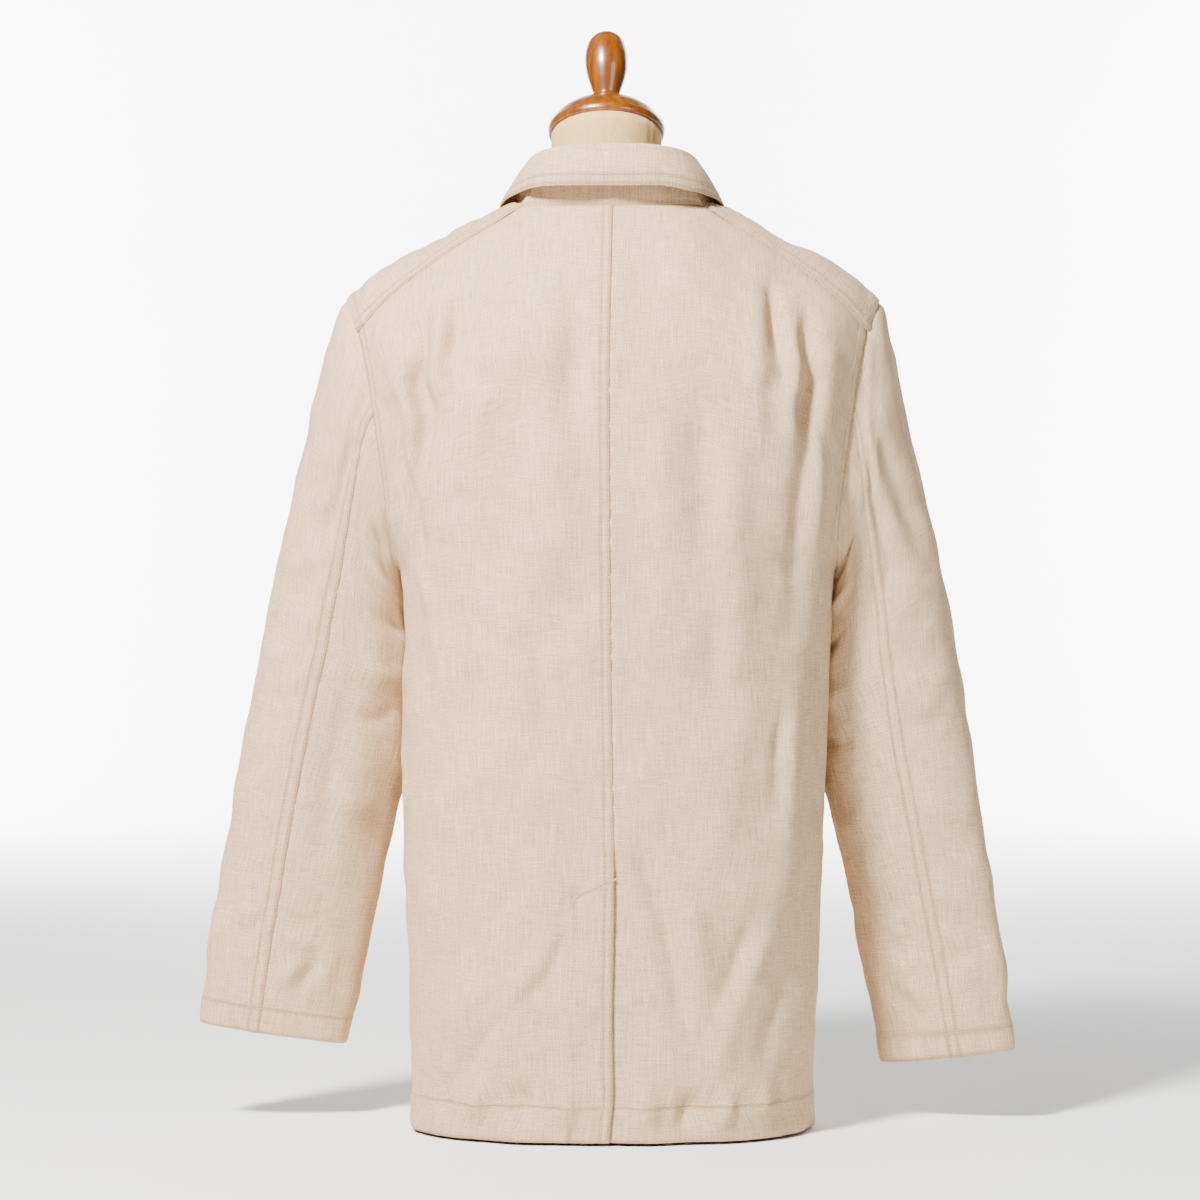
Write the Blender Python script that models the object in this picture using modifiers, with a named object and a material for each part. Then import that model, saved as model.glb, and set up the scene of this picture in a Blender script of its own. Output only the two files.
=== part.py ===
"""A linen chore jacket on a limbless dress form with a turned wooden neck cap.

Metres, +Z up. The jacket's front faces -Y and its wearer's left is +X. The
origin is the middle of the flat underside of the form's foot.

The body of the jacket is one smooth surface that is read by two values: an
angle, which runs from the middle of the back or front to the side, and a level,
which is 0 at the hem, 1 where the shoulder arch begins, 2 on the shoulder ridge
and over 2 where a front laps over the ridge to the back. Every panel, pocket,
button and the form itself is worked out from that surface.
"""

from collections import namedtuple
from math import acos, asin, cos, hypot, pi, radians, sin, tan

import bmesh
import bpy
from mathutils import Matrix, Vector

# ---------------------------------------------------------------- driving sizes

WALL = 0.0016
SEAM_GAP = 0.0005
SHOULDER_SEAM_GAP = 0.0007
CENTRE_X = -0.0055          # the jacket hangs a little to the wearer's right
HEM_Z = 0.0030
UNDERARM_Z = 0.4880
TIP_Z = 0.7260
SHOULDER_HALF = 0.2335
SHOULDER_MID_Z = 0.763
SQUARENESS = 2.4            # exponent of the body's rounded sections
ARCH_BACK = (0.17, 0.11)    # height of the shoulder arch at the neck and at the tip
ARCH_FRONT = (0.27, 0.12)

VENT_TOP_Z = 0.2220
VENT_UNDERLAP = 0.033
VENT_SLANT = 0.015
FRONT_LAP = 0.022
LAP_DROP = 0.0034           # how far a lapped edge lies below its cover
NECK_LAP_DEEPER = 1.7       # more of it at the neck's corner, where the cloth bends most

NECK_BACK_Z = 0.8018
NECK_SEAM_END = (0.0765, 0.8047)
NECK_RIDGE_X = 0.0865
NECK_FRONT_Z = 0.7480

ARMHOLE_STEPS = 10
ARMHOLE_SHARES = (0.0, 0.03, 0.09, 0.175, 0.285, 0.425, 0.585, 0.745, 0.881, 0.969, 1.0)
SHOULDER_SEAM_STEP = 8      # the back-set shoulder seam ends at this step of the back armhole
BACK_SEAM_STEP = 6          # the sleeve's back seam starts here
FRONT_SEAM_STEP = 3         # the sleeve's front seam starts here
ARMHOLE_GAP = 0.0018
ARMHOLE_LEAN = radians(10.0)
UNDERARM_GAP = 0.0023
SLEEVE_SEAM_SHIFT = 0.025   # half a sleeve seam's gap, as a share of a step round the armhole

FORM_FOOT_RADIUS = 0.115
FORM_FOOT_HEIGHT = 0.0120
FORM_NECK_RADIUS = 0.0485
FORM_NECK_Z = 0.8695
FORM_NECK_TILT = radians(19.0)
FORM_SIDES = 44
NECK_BLEND_Z = 0.743
CAP_HEIGHT = 0.0335
FINIAL_HEIGHT = 0.0680

BUTTON_THICKNESS = 0.0034
BUTTON_TOP_Z = 0.7050
BUTTON_PITCH = 0.122
BUTTON_COUNT = 5
BUTTON_SEAT = 0.0008        # a button's back, clear of the cloth that bends under it

# --------------------------------------------------------------- short tables

BodyRow = namedtuple("BodyRow", "z half_left half_right back front")
BODY = (
    BodyRow(0.0030, 0.1750, 0.1750, 0.128, 0.140),
    BodyRow(0.0730, 0.1770, 0.1762, 0.130, 0.143),
    BodyRow(0.1530, 0.1785, 0.1808, 0.131, 0.145),
    BodyRow(0.2330, 0.1825, 0.1835, 0.130, 0.146),
    BodyRow(0.3230, 0.1845, 0.1868, 0.127, 0.144),
    BodyRow(0.3830, 0.1835, 0.1880, 0.126, 0.142),
    BodyRow(0.4430, 0.1815, 0.1905, 0.127, 0.142),
    BodyRow(0.4880, 0.1860, 0.1945, 0.129, 0.143),
    BodyRow(0.5330, 0.2025, 0.2050, 0.131, 0.144),
    BodyRow(0.5830, 0.2155, 0.2155, 0.131, 0.144),
    BodyRow(0.6330, 0.2250, 0.2250, 0.129, 0.142),
    BodyRow(0.6830, 0.2345, 0.2345, 0.125, 0.138),
    BodyRow(0.7430, 0.2430, 0.2430, 0.121, 0.132),
    BodyRow(0.8330, 0.2500, 0.2500, 0.118, 0.128),
)

RidgeRow = namedtuple("RidgeRow", "x z")
RIDGE = (
    RidgeRow(0.0000, 0.8330),
    RidgeRow(0.0500, 0.8250),
    RidgeRow(0.0865, 0.8120),
    RidgeRow(0.1000, 0.8045),
    RidgeRow(0.1300, 0.7900),
    RidgeRow(0.1600, 0.7740),
    RidgeRow(0.1900, 0.7595),
    RidgeRow(0.2100, 0.7480),
    RidgeRow(0.2250, 0.7360),
    RidgeRow(0.2335, 0.7262),
    RidgeRow(0.2500, 0.7030),
)

ArmholeRow = namedtuple("ArmholeRow", "z back front")
ARMHOLE = (
    ArmholeRow(0.5330, 0.1950, 0.1930),
    ArmholeRow(0.5830, 0.2010, 0.1985),
    ArmholeRow(0.6330, 0.2080, 0.2060),
    ArmholeRow(0.6755, 0.2155, 0.2140),
    ArmholeRow(0.6976, 0.2215, 0.2205),
    ArmholeRow(0.7262, 0.2335, 0.2335),
)

CentreRow = namedtuple("CentreRow", "z x")
CENTRE_SEAM = (
    CentreRow(0.0030, 0.0045),
    CentreRow(0.0430, 0.0010),
    CentreRow(0.1030, 0.0018),
    CentreRow(0.2330, 0.0000),
    CentreRow(0.3830, 0.0020),
    CentreRow(0.5830, 0.0035),
    CentreRow(0.6830, 0.0035),
    CentreRow(0.8020, 0.0008),
)

# side and face that a soft fold is on, its lateral place at its two ends, its
# two ends, half its width, and how far it swells (or, below zero, sinks)
Fold = namedtuple("Fold", "side face low_x high_x low_z high_z width swell")
FOLDS = (
    Fold(-1, 1, 0.178, 0.186, 0.5430, 0.7430, 0.0100, 0.0045),
    Fold(-1, 1, 0.158, 0.168, 0.5030, 0.7480, 0.0095, -0.0045),
    Fold(-1, 1, 0.138, 0.150, 0.5430, 0.7230, 0.0110, 0.0030),
    Fold(1, 1, 0.176, 0.190, 0.5430, 0.7280, 0.0095, 0.0035),
    Fold(1, 1, 0.160, 0.172, 0.5230, 0.7230, 0.0090, -0.0030),
    Fold(1, 1, 0.120, 0.126, 0.5230, 0.7030, 0.0130, 0.0025),
    Fold(1, 1, 0.060, 0.070, 0.1030, 0.5030, 0.0220, 0.0030),
    Fold(-1, 1, 0.028, 0.022, 0.0430, 0.3130, 0.0130, -0.0035),
    Fold(-1, 1, 0.110, 0.100, 0.0630, 0.4630, 0.0260, 0.0035),
    Fold(1, -1, 0.150, 0.165, 0.5230, 0.7130, 0.0110, 0.0040),
    Fold(-1, -1, 0.150, 0.165, 0.5330, 0.7180, 0.0110, 0.0040),
    Fold(1, -1, 0.120, 0.130, 0.5230, 0.7030, 0.0110, -0.0030),
    Fold(-1, -1, 0.125, 0.132, 0.5330, 0.7030, 0.0110, -0.0030),
)

LOWER_HEIGHTS = (
    0.003, 0.038, 0.078, 0.123, 0.173, 0.222, 0.268,
    0.313, 0.358, 0.398, 0.433, 0.463, 0.488)
NECK_COLUMN_SHARE = 0.2235
# steps of the armhole that the rows above the underarm follow; those between whole
# steps keep the rounded shoulder close to its true form
BACK_STEPS = (1, 2, 3, 4, 5, 6, 6.5, 7, 7.5, 8)
FRONT_STEPS = (1, 2, 3, 4, 5, 6, 7, 8, 8.5, 9, 9.5, 10, 10.5, 11, 11.5, 12)
BACK_COLUMNS = (0.0, 0.11, NECK_COLUMN_SHARE, 0.35, 0.48, 0.61, 0.74, 0.87, 1.0)
FRONT_COLUMNS = (0.0, 0.13, 0.26, 0.39, 0.52, 0.65, 0.77, 0.89, 1.0)

NeckRow = namedtuple("NeckRow", "step x z")
FRONT_NECKLINE = (
    NeckRow(6, 0.0000, 0.7480),
    NeckRow(7, 0.0480, 0.7525),
    NeckRow(8, 0.0715, 0.7665),
    NeckRow(9, 0.0830, 0.7890),
    NeckRow(10, 0.0865, 0.8120),
)
NECK_CORNER_STEP = 6

# a section of the sleeve: its edge near the body and its outer edge seen from
# the back, how far forward it lies, half its depth, how far it is turned about
# its length, and the place round it of its back and front seams
SleeveRow = namedtuple(
    "SleeveRow", "inner_x inner_z outer_x outer_z centre_y half_depth turn back_seam front_seam")
SLEEVE_LEFT = (
    SleeveRow(0.1900, 0.4820, 0.2488, 0.6864, -0.003, 0.0600, 4.0, 76.0, 236.0),
    SleeveRow(0.1875, 0.4700, 0.2632, 0.6292, -0.010, 0.0590, 9.0, 77.0, 236.0),
    SleeveRow(0.1830, 0.4510, 0.2757, 0.5711, -0.018, 0.0570, 15.0, 79.0, 236.0),
    SleeveRow(0.1760, 0.4230, 0.2890, 0.5080, -0.026, 0.0550, 20.0, 80.0, 236.0),
    SleeveRow(0.1740, 0.3830, 0.3015, 0.4510, -0.030, 0.0520, 22.0, 78.0, 236.0),
    SleeveRow(0.1815, 0.3274, 0.3180, 0.3680, -0.032, 0.0450, 20.0, 75.0, 236.0),
    SleeveRow(0.2000, 0.2480, 0.3380, 0.2630, -0.034, 0.0370, 15.0, 76.0, 236.0),
    SleeveRow(0.2203, 0.1473, 0.3560, 0.1670, -0.038, 0.0300, 10.0, 79.0, 236.0),
    SleeveRow(0.2381, 0.0671, 0.3658, 0.0875, -0.042, 0.0255, 8.0, 81.0, 236.0),
)
SLEEVE_RIGHT = (
    SleeveRow(0.1975, 0.4820, 0.2449, 0.6846, -0.003, 0.0600, 4.0, 80.0, 236.0),
    SleeveRow(0.1940, 0.4700, 0.2560, 0.6330, -0.010, 0.0590, 9.0, 84.0, 236.0),
    SleeveRow(0.1890, 0.4510, 0.2690, 0.5770, -0.018, 0.0570, 15.0, 88.0, 236.0),
    SleeveRow(0.1820, 0.4230, 0.2825, 0.5130, -0.026, 0.0550, 20.0, 90.0, 236.0),
    SleeveRow(0.1790, 0.3830, 0.2945, 0.4530, -0.030, 0.0520, 22.0, 91.0, 236.0),
    SleeveRow(0.1850, 0.3256, 0.3108, 0.3580, -0.032, 0.0450, 22.0, 91.0, 236.0),
    SleeveRow(0.2030, 0.2480, 0.3275, 0.2510, -0.034, 0.0370, 20.0, 90.0, 236.0),
    SleeveRow(0.2200, 0.1630, 0.3415, 0.1680, -0.038, 0.0300, 19.0, 88.0, 236.0),
    SleeveRow(0.2430, 0.0495, 0.3551, 0.0646, -0.042, 0.0255, 20.0, 86.0, 236.0),
)
SLEEVE_RINGS = (0.0, 0.4, 1.0, 1.5, 2.0, 3.0, 4.0, 5.0, 6.0, 7.0, 8.0, 9.0)
SLEEVE_SQUARENESS = 2.2
BODY_MARGIN = 0.0042

# half of the collar, from the middle of the back to the front end: how far along
# the neckline a station lies, the fold at the top and the free edge of the fall
CollarRow = namedtuple("CollarRow", "along fold_x fold_y fold_z edge_x edge_y edge_z")
COLLAR = (
    CollarRow(0.00, 0.0000, 0.0710, 0.8542, 0.0000, 0.0815, 0.8175),
    CollarRow(0.12, 0.0290, 0.0685, 0.8540, 0.0330, 0.0795, 0.8180),
    CollarRow(0.24, 0.0520, 0.0560, 0.8520, 0.0600, 0.0700, 0.8182),
    CollarRow(0.36, 0.0650, 0.0320, 0.8490, 0.0800, 0.0500, 0.8165),
    CollarRow(0.50, 0.0690, -0.0020, 0.8430, 0.0965, 0.0080, 0.8110),
    CollarRow(0.64, 0.0650, -0.0390, 0.8270, 0.1035, -0.0480, 0.7990),
    CollarRow(0.77, 0.0540, -0.0660, 0.8080, 0.1010, -0.0880, 0.7740),
    CollarRow(0.89, 0.0340, -0.0840, 0.7870, 0.0900, -0.1130, 0.7450),
    CollarRow(1.00, 0.0090, -0.0930, 0.7700, 0.0720, -0.1290, 0.7200),
)
COLLAR_STEPS_EACH_SIDE = 18
STAND_GAP = 0.0010
STAND_START = 0.0018        # the stand's lower edge, up from the middle of the panels' wall
COLLAR_END = 0.985
FOLD_RISE = 0.0070          # how far the turn of the collar stands over the stand
FOLD_OUT = 0.0064

FormRow = namedtuple("FormRow", "z scale side_limit")
FORM = (
    FormRow(0.0123, 0.8700, 0.152),
    FormRow(0.0300, 0.8900, 0.156),
    FormRow(0.0830, 0.9000, 0.162),
    FormRow(0.2030, 0.8950, 0.164),
    FormRow(0.3030, 0.8600, 0.155),
    FormRow(0.3830, 0.8300, 0.148),
    FormRow(0.4630, 0.8500, 0.156),
    FormRow(0.5430, 0.8900, 0.176),
    FormRow(0.6130, 0.9200, 0.187),
    FormRow(0.6730, 0.9600, 0.195),
    FormRow(0.7080, 0.9900, 0.200),
    FormRow(0.7280, 1.0000, 0.200),
    FormRow(0.7450, 1.0000, 0.200),
    FormRow(0.7610, 1.0000, 0.200),
    FormRow(0.7750, 1.0000, 0.200),
    FormRow(0.7880, 1.0000, 0.200),
    FormRow(0.8000, 1.0000, 0.200),
    FormRow(0.8110, 1.0000, 0.200),
    FormRow(0.8230, 1.0000, 0.200),
    FormRow(0.8380, 1.0000, 0.200),
    FormRow(0.8530, 1.0000, 0.200),
    FormRow(0.8695, 1.0000, 0.200),
)
FORM_CLEAR_OUT = 0.0050
FORM_CLEAR_LAP = 0.0030     # more of it in front, under the fronts' lap
FORM_CLEAR_DOWN = 0.0023
FORM_TILT_START_Z = 0.8180

ProfileRow = namedtuple("ProfileRow", "radius height")
CAP_PROFILE = (
    ProfileRow(0.0000, 1.000),
    ProfileRow(0.0125, 0.985),
    ProfileRow(0.0215, 0.925),
    ProfileRow(0.0300, 0.830),
    ProfileRow(0.0380, 0.690),
    ProfileRow(0.0445, 0.520),
    ProfileRow(0.0490, 0.330),
    ProfileRow(0.0511, 0.180),
    ProfileRow(0.0513, 0.090),
    ProfileRow(0.0505, 0.025),
    ProfileRow(0.0490, 0.000),
    ProfileRow(0.0000, 0.000),
)
FINIAL_PROFILE = (
    ProfileRow(0.0000, 1.000),
    ProfileRow(0.0060, 0.985),
    ProfileRow(0.0115, 0.940),
    ProfileRow(0.0160, 0.850),
    ProfileRow(0.0186, 0.720),
    ProfileRow(0.0192, 0.600),
    ProfileRow(0.0184, 0.460),
    ProfileRow(0.0160, 0.310),
    ProfileRow(0.0130, 0.170),
    ProfileRow(0.0114, 0.090),
    ProfileRow(0.0116, 0.060),
    ProfileRow(0.0136, 0.040),
    ProfileRow(0.0136, 0.000),
    ProfileRow(0.0000, 0.000),
)
BUTTON_PROFILE = (
    ProfileRow(0.0000, 0.700),
    ProfileRow(0.0070, 0.720),
    ProfileRow(0.0084, 1.000),
    ProfileRow(0.0095, 0.960),
    ProfileRow(0.0100, 0.600),
    ProfileRow(0.0090, 0.120),
    ProfileRow(0.0070, 0.000),
    ProfileRow(0.0000, 0.000),
)

# the columns and rows of the front's grid that a pocket's own lines follow
POCKET_LINES = (1.4, 2.0, 3.0, 4.0, 5.0, 5.5)
POCKET_LEVELS = (1.5, 2.0, 3.0, 4.0, 5.0, 5.5)
POCKET_LIFT = 0.0022        # from the middle of the front's wall to the middle of the pocket's

# ------------------------------------------------------------ reading a table


def read(table, column, at):
    """A column's value at a place along the table's first column, smoothly joined."""
    keys = [row[0] for row in table]
    values = [getattr(row, column) for row in table]
    last = len(keys) - 1
    if at <= keys[0]:
        return values[0]
    if at >= keys[last]:
        return values[last]
    low = max(i for i in range(last) if keys[i] <= at)

    def slope(i):
        before = max(i - 1, 0)
        after = min(i + 1, last)
        return (values[after] - values[before]) / (keys[after] - keys[before])

    width = keys[low + 1] - keys[low]
    t = (at - keys[low]) / width
    start = (1 + 2 * t) * (1 - t) ** 2 * values[low]
    end = t * t * (3 - 2 * t) * values[low + 1]
    start_slope = t * (1 - t) ** 2 * width * slope(low)
    end_slope = t * t * (t - 1) * width * slope(low + 1)
    return start + end + start_slope + end_slope


def ease(value):
    """0 to 1, flat at both ends."""
    t = min(max(value, 0.0), 1.0)
    return t * t * (3 - 2 * t)


def blend(start, end, share):
    return start + (end - start) * share


# ------------------------------------------------------- the jacket's surface


def half_width(side, z):
    return read(BODY, "half_left" if side > 0 else "half_right", z)


def arch(face, x):
    near, far = ARCH_BACK if face > 0 else ARCH_FRONT
    return blend(near, far, ease(abs(x) / SHOULDER_HALF))


def ridge(x):
    return read(RIDGE, "z", abs(x))


def level_at(face, x, z):
    """The level, 0 to 2, of a height on one face at a lateral place."""
    top = ridge(x)
    rise = arch(face, x)
    if z <= top - rise:
        return (z - HEM_Z) / (top - rise - HEM_Z)
    bend = acos(1.0 - min(max((top - z) / rise, 0.0), 1.0))
    return 2.0 - bend / (pi / 2)


def height_at(face, x, level):
    top = ridge(x)
    rise = arch(face, x)
    if level <= 1.0:
        return HEM_Z + level * (top - rise - HEM_Z)
    return top - rise * (1.0 - cos((2.0 - level) * pi / 2))


def angle_at(side, x, z):
    """The angle, 0 in the middle to a right angle at the side, of a lateral place."""
    share = min(abs(x) / half_width(side, z), 1.0)
    angle = asin(share ** (SQUARENESS / 2))
    return angle if x >= 0 else -angle


def lateral_at(side, angle, z):
    reach = half_width(side, z) * abs(sin(angle)) ** (2 / SQUARENESS)
    return reach if angle >= 0 else -reach


def depth_at(side, face, x, z, level):
    """How far the surface stands from the shoulder line, before its folds."""
    reach = read(BODY, "back" if face > 0 else "front", z)
    share = min(abs(x) / half_width(side, z), 1.0)
    depth = reach * (1.0 - share ** SQUARENESS) ** (1 / SQUARENESS)
    if level > 1.0:
        depth *= sin((2.0 - level) * pi / 2)
    return depth


def fold_swell(side, face, x, z):
    swell = 0.0
    for fold in FOLDS:
        if fold.side != side or fold.face != face:
            continue
        along = (z - fold.low_z) / (fold.high_z - fold.low_z)
        if along <= 0.0 or along >= 1.0:
            continue
        middle = blend(fold.low_x, fold.high_x, along)
        across = (x - middle) / fold.width
        swell += fold.swell * sin(pi * along) ** 2 * 2.718281828 ** (-across * across)
    return swell


def body_point(side, face, angle, level, sink=0.0):
    """A point of the jacket's surface, sunk below it by a given depth."""
    if level > 2.0:
        face = -face
        level = 4.0 - level
    z = 0.5
    x = 0.0
    for _ in range(5):
        x = lateral_at(side, angle, z)
        z = height_at(face, x, level)
    depth = depth_at(side, face, x, z, level)
    share = min(abs(x) / half_width(side, z), 1.0)
    reach = read(BODY, "back" if face > 0 else "front", z)
    out_x = share ** (SQUARENESS - 1) / half_width(side, z)
    out_y = (depth / reach) ** (SQUARENESS - 1) / reach
    length = hypot(out_x, out_y)
    push = fold_swell(side, face, x, z) - sink
    x += push * out_x / length * (1 if x >= 0 else -1)
    depth += push * out_y / length
    return Vector((CENTRE_X + side * x, face * depth, z))


def body_at(side, face, x, z, sink=0.0):
    return body_point(side, face, angle_at(side, x, z), level_at(face, x, z), sink)


# ----------------------------------------------------------- edges of panels


def armhole_share(step):
    """How high up the armhole a step lies: 0 at the underarm, 1 at the shoulder tip."""
    whole = min(int(step), ARMHOLE_STEPS - 1)
    return blend(ARMHOLE_SHARES[whole], ARMHOLE_SHARES[whole + 1], step - whole)


def armhole_place(side, face, step):
    """The angle and level of a whole step of the armhole's edge."""
    z = blend(UNDERARM_Z, TIP_Z, armhole_share(step))
    underarm_x = half_width(side, UNDERARM_Z)
    if step == 0:
        return pi / 2, level_at(face, underarm_x, UNDERARM_Z)
    if step == ARMHOLE_STEPS:
        return angle_at(side, SHOULDER_HALF, TIP_Z), 2.0
    column = "back" if face > 0 else "front"
    if z < ARMHOLE[0].z:
        up = (z - UNDERARM_Z) / (ARMHOLE[0].z - UNDERARM_Z)
        x = blend(underarm_x, getattr(ARMHOLE[0], column), ease(up))
    else:
        x = read(ARMHOLE, column, z)
    return angle_at(side, x, z), level_at(face, x, z)


def back_neckline_z(x):
    end_x, end_z = NECK_SEAM_END
    return NECK_BACK_Z + (end_z - NECK_BACK_Z) * (x / end_x) ** 2


def seam_drop_levels(side):
    """The level of the shoulder seam at its neck end and at its armhole end."""
    end_x, end_z = NECK_SEAM_END
    return level_at(1, end_x, end_z), armhole_place(side, 1, SHOULDER_SEAM_STEP)[1]


def shoulder_seam_level(side, x):
    near, far = seam_drop_levels(side)
    span = read(ARMHOLE, "back", blend(UNDERARM_Z, TIP_Z, armhole_share(SHOULDER_SEAM_STEP)))
    share = (x - NECK_SEAM_END[0]) / (span - NECK_SEAM_END[0])
    bow = 0.045 * sin(pi * min(max(share, 0.0), 1.0))
    return blend(near, far, share) + bow


def back_top_level(side, x):
    if x <= NECK_SEAM_END[0]:
        return level_at(1, x, back_neckline_z(x))
    return shoulder_seam_level(side, x)


def lap_sink(side, face, x, z):
    """The depth of an edge that lies under its neighbour: the vent and the button stand."""
    if side > 0:
        return 0.0
    if face > 0:
        near = ease((0.022 - x) / 0.018)
        low = ease((VENT_TOP_Z + 0.035 - z) / 0.035)
        return LAP_DROP * near * low
    deeper = blend(1.0, NECK_LAP_DEEPER, ease((z - BUTTON_TOP_Z) / 0.04))
    return LAP_DROP * deeper * ease((0.050 - x) / 0.024)


# -------------------------------------------------------------- back panels


LOWER_ROWS = len(LOWER_HEIGHTS) - 1
BACK_ROWS = LOWER_ROWS + len(BACK_STEPS)
FRONT_ROWS = LOWER_ROWS + len(FRONT_STEPS)


def between_steps(edge, step):
    """An edge's angle and level at a step, blended from those of the whole steps beside it."""
    low = int(step)
    here = edge(low)
    if step == low:
        return here
    above = edge(low + 1)
    return blend(here[0], above[0], step - low), blend(here[1], above[1], step - low)


def back_place(side, column, row):
    """The angle and level of one corner of a back panel's grid."""
    if row <= LOWER_ROWS:
        z = LOWER_HEIGHTS[row]
        rise = 0.0
        inner_z = z
        outer = (pi / 2, level_at(1, half_width(side, z), z))
    else:
        step = BACK_STEPS[row - LOWER_ROWS - 1]
        rise = step / SHOULDER_SEAM_STEP
        inner_z = blend(UNDERARM_Z, NECK_BACK_Z, rise)
        outer = between_steps(lambda whole: armhole_place(side, 1, whole), step)
    inner_x = side * read(CENTRE_SEAM, "x", inner_z) + SEAM_GAP / 2
    inner = (angle_at(side, inner_x, inner_z), level_at(1, inner_x, inner_z))
    share = BACK_COLUMNS[column]
    angle = blend(inner[0], outer[0], share)
    level = blend(inner[1], outer[1], share)
    top_outer = armhole_place(side, 1, SHOULDER_SEAM_STEP)
    top_x = lateral_at(side, blend(0.0, top_outer[0], share), SHOULDER_MID_Z)
    straight = blend(level_at(1, 0.0, NECK_BACK_Z), top_outer[1], share)
    level += (back_top_level(side, top_x) - straight) * rise ** 2
    return angle, level


def back_vertex(side, column, row):
    seam_shift = Vector((0.0, SEAM_GAP / 2, 0.0))
    if row > LOWER_ROWS and column == len(BACK_COLUMNS) - 1:
        return armhole_vertex(side, 1, BACK_STEPS[row - LOWER_ROWS - 1]) + seam_shift
    angle, level = back_place(side, column, row)
    bare = body_point(side, 1, angle, level)
    x = side * (bare.x - CENTRE_X)
    return body_point(side, 1, angle, level, lap_sink(side, 1, x, bare.z)) + seam_shift


def underlap_vertex(side, share, row):
    """The vent's underlap, carried past the centre seam below its cover."""
    z = LOWER_HEIGHTS[row]
    seam_x = side * read(CENTRE_SEAM, "x", z)
    x = seam_x - VENT_UNDERLAP * share + SEAM_GAP / 2
    if row == LOWER_HEIGHTS.index(VENT_TOP_Z):
        z -= VENT_SLANT * share
    point = body_at(-side, 1, -x, z, LAP_DROP)
    point.y += SEAM_GAP / 2
    return point


def build_back(name, side, material):
    columns = len(BACK_COLUMNS) - 1
    if side > 0:
        return cloth_sheet(name, columns, BACK_ROWS, lambda i, j: back_vertex(side, i, j), material)
    extra = 2
    vent_row = LOWER_HEIGHTS.index(VENT_TOP_Z)

    def place(i, j):
        if i >= extra:
            return back_vertex(side, i - extra, j)
        return underlap_vertex(side, (extra - i) / extra, min(j, vent_row))

    return cloth_sheet(
        name, columns + extra, BACK_ROWS, place, material,
        skip=lambda i, j: i < extra and j >= vent_row)


# ------------------------------------------------------------- front panels


def front_outer(side, step):
    """A front's armhole edge, which goes on over the shoulder tip to the back."""
    if step <= ARMHOLE_STEPS:
        return armhole_place(side, -1, step)
    turned = armhole_place(side, 1, 2 * ARMHOLE_STEPS - step)
    return turned[0], 4.0 - turned[1]


def front_inner(side, step):
    """A front's free edge above the underarm: the lap, the neckline and the shoulder."""
    if step <= NECK_CORNER_STEP:
        z = blend(UNDERARM_Z, NECK_FRONT_Z, step / NECK_CORNER_STEP)
        return angle_at(side, -FRONT_LAP, z), level_at(-1, 0.0, z)
    if step <= ARMHOLE_STEPS:
        neck = FRONT_NECKLINE[step - NECK_CORNER_STEP]
        return angle_at(side, neck.x, neck.z), level_at(-1, neck.x, neck.z)
    end_x, end_z = NECK_SEAM_END
    share = (step - ARMHOLE_STEPS) / (ARMHOLE_STEPS - SHOULDER_SEAM_STEP)
    x = blend(NECK_RIDGE_X, end_x, share)
    return angle_at(side, x, end_z), blend(2.0, 4.0 - level_at(1, end_x, end_z), share)


def front_edges(side, row):
    """The two ends of a row of a front: (angle, level) by the opening and by the side."""
    if row <= LOWER_ROWS:
        z = LOWER_HEIGHTS[row]
        lap = (angle_at(side, -FRONT_LAP, z), level_at(-1, 0.0, z))
        return lap, (pi / 2, level_at(-1, half_width(side, z), z))
    step = FRONT_STEPS[row - LOWER_ROWS - 1]
    inner = between_steps(lambda whole: front_inner(side, whole), step)
    return inner, between_steps(lambda whole: front_outer(side, whole), step)


def seam_vertex(side, share):
    """The front's end at the shoulder seam: the back's straight edges, moved to the ridge."""
    corner = BACK_COLUMNS.index(NECK_COLUMN_SHARE)
    points = [back_vertex(side, i, BACK_ROWS) for i in range(corner, len(BACK_COLUMNS))]
    toward_ridge = Vector((0.0, -0.75, 0.66))
    return along_points(points, share) + toward_ridge * SHOULDER_SEAM_GAP


def front_vertex(side, column, row):
    inner, outer = front_edges(side, row)
    share = FRONT_COLUMNS[column]
    seam_shift = Vector((0.0, -SEAM_GAP / 2, 0.0))
    if row == FRONT_ROWS:
        return seam_vertex(side, share)
    step = FRONT_STEPS[row - LOWER_ROWS - 1] if row > LOWER_ROWS else 0
    if step > 0 and column == len(FRONT_COLUMNS) - 1:
        face = -1 if step <= ARMHOLE_STEPS else 1
        along = step if step <= ARMHOLE_STEPS else 2 * ARMHOLE_STEPS - step
        return armhole_vertex(side, face, along) + seam_shift
    angle = blend(inner[0], outer[0], share)
    level = blend(inner[1], outer[1], share)
    over = (step - ARMHOLE_STEPS) / (ARMHOLE_STEPS - SHOULDER_SEAM_STEP)
    if over > 0:
        x = lateral_at(side, angle, SHOULDER_MID_Z)
        seam = 4.0 - shoulder_seam_level(side, max(x, NECK_SEAM_END[0]))
        straight = blend(4.0 - seam_drop_levels(side)[0], 4.0 - seam_drop_levels(side)[1], share)
        level += (seam - straight) * over ** 2
    bare = body_point(side, -1, angle, level)
    x = side * (bare.x - CENTRE_X)
    sink = lap_sink(side, -1, x, bare.z) if level < 2.0 else 0.0
    return body_point(side, -1, angle, level, sink) + seam_shift


def build_front(name, side, material):
    columns = len(FRONT_COLUMNS) - 1
    return cloth_sheet(
        name, columns, FRONT_ROWS, lambda i, j: front_vertex(side, i, j), material, flip=True)


# ------------------------------------------------------------------ sleeves


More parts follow.
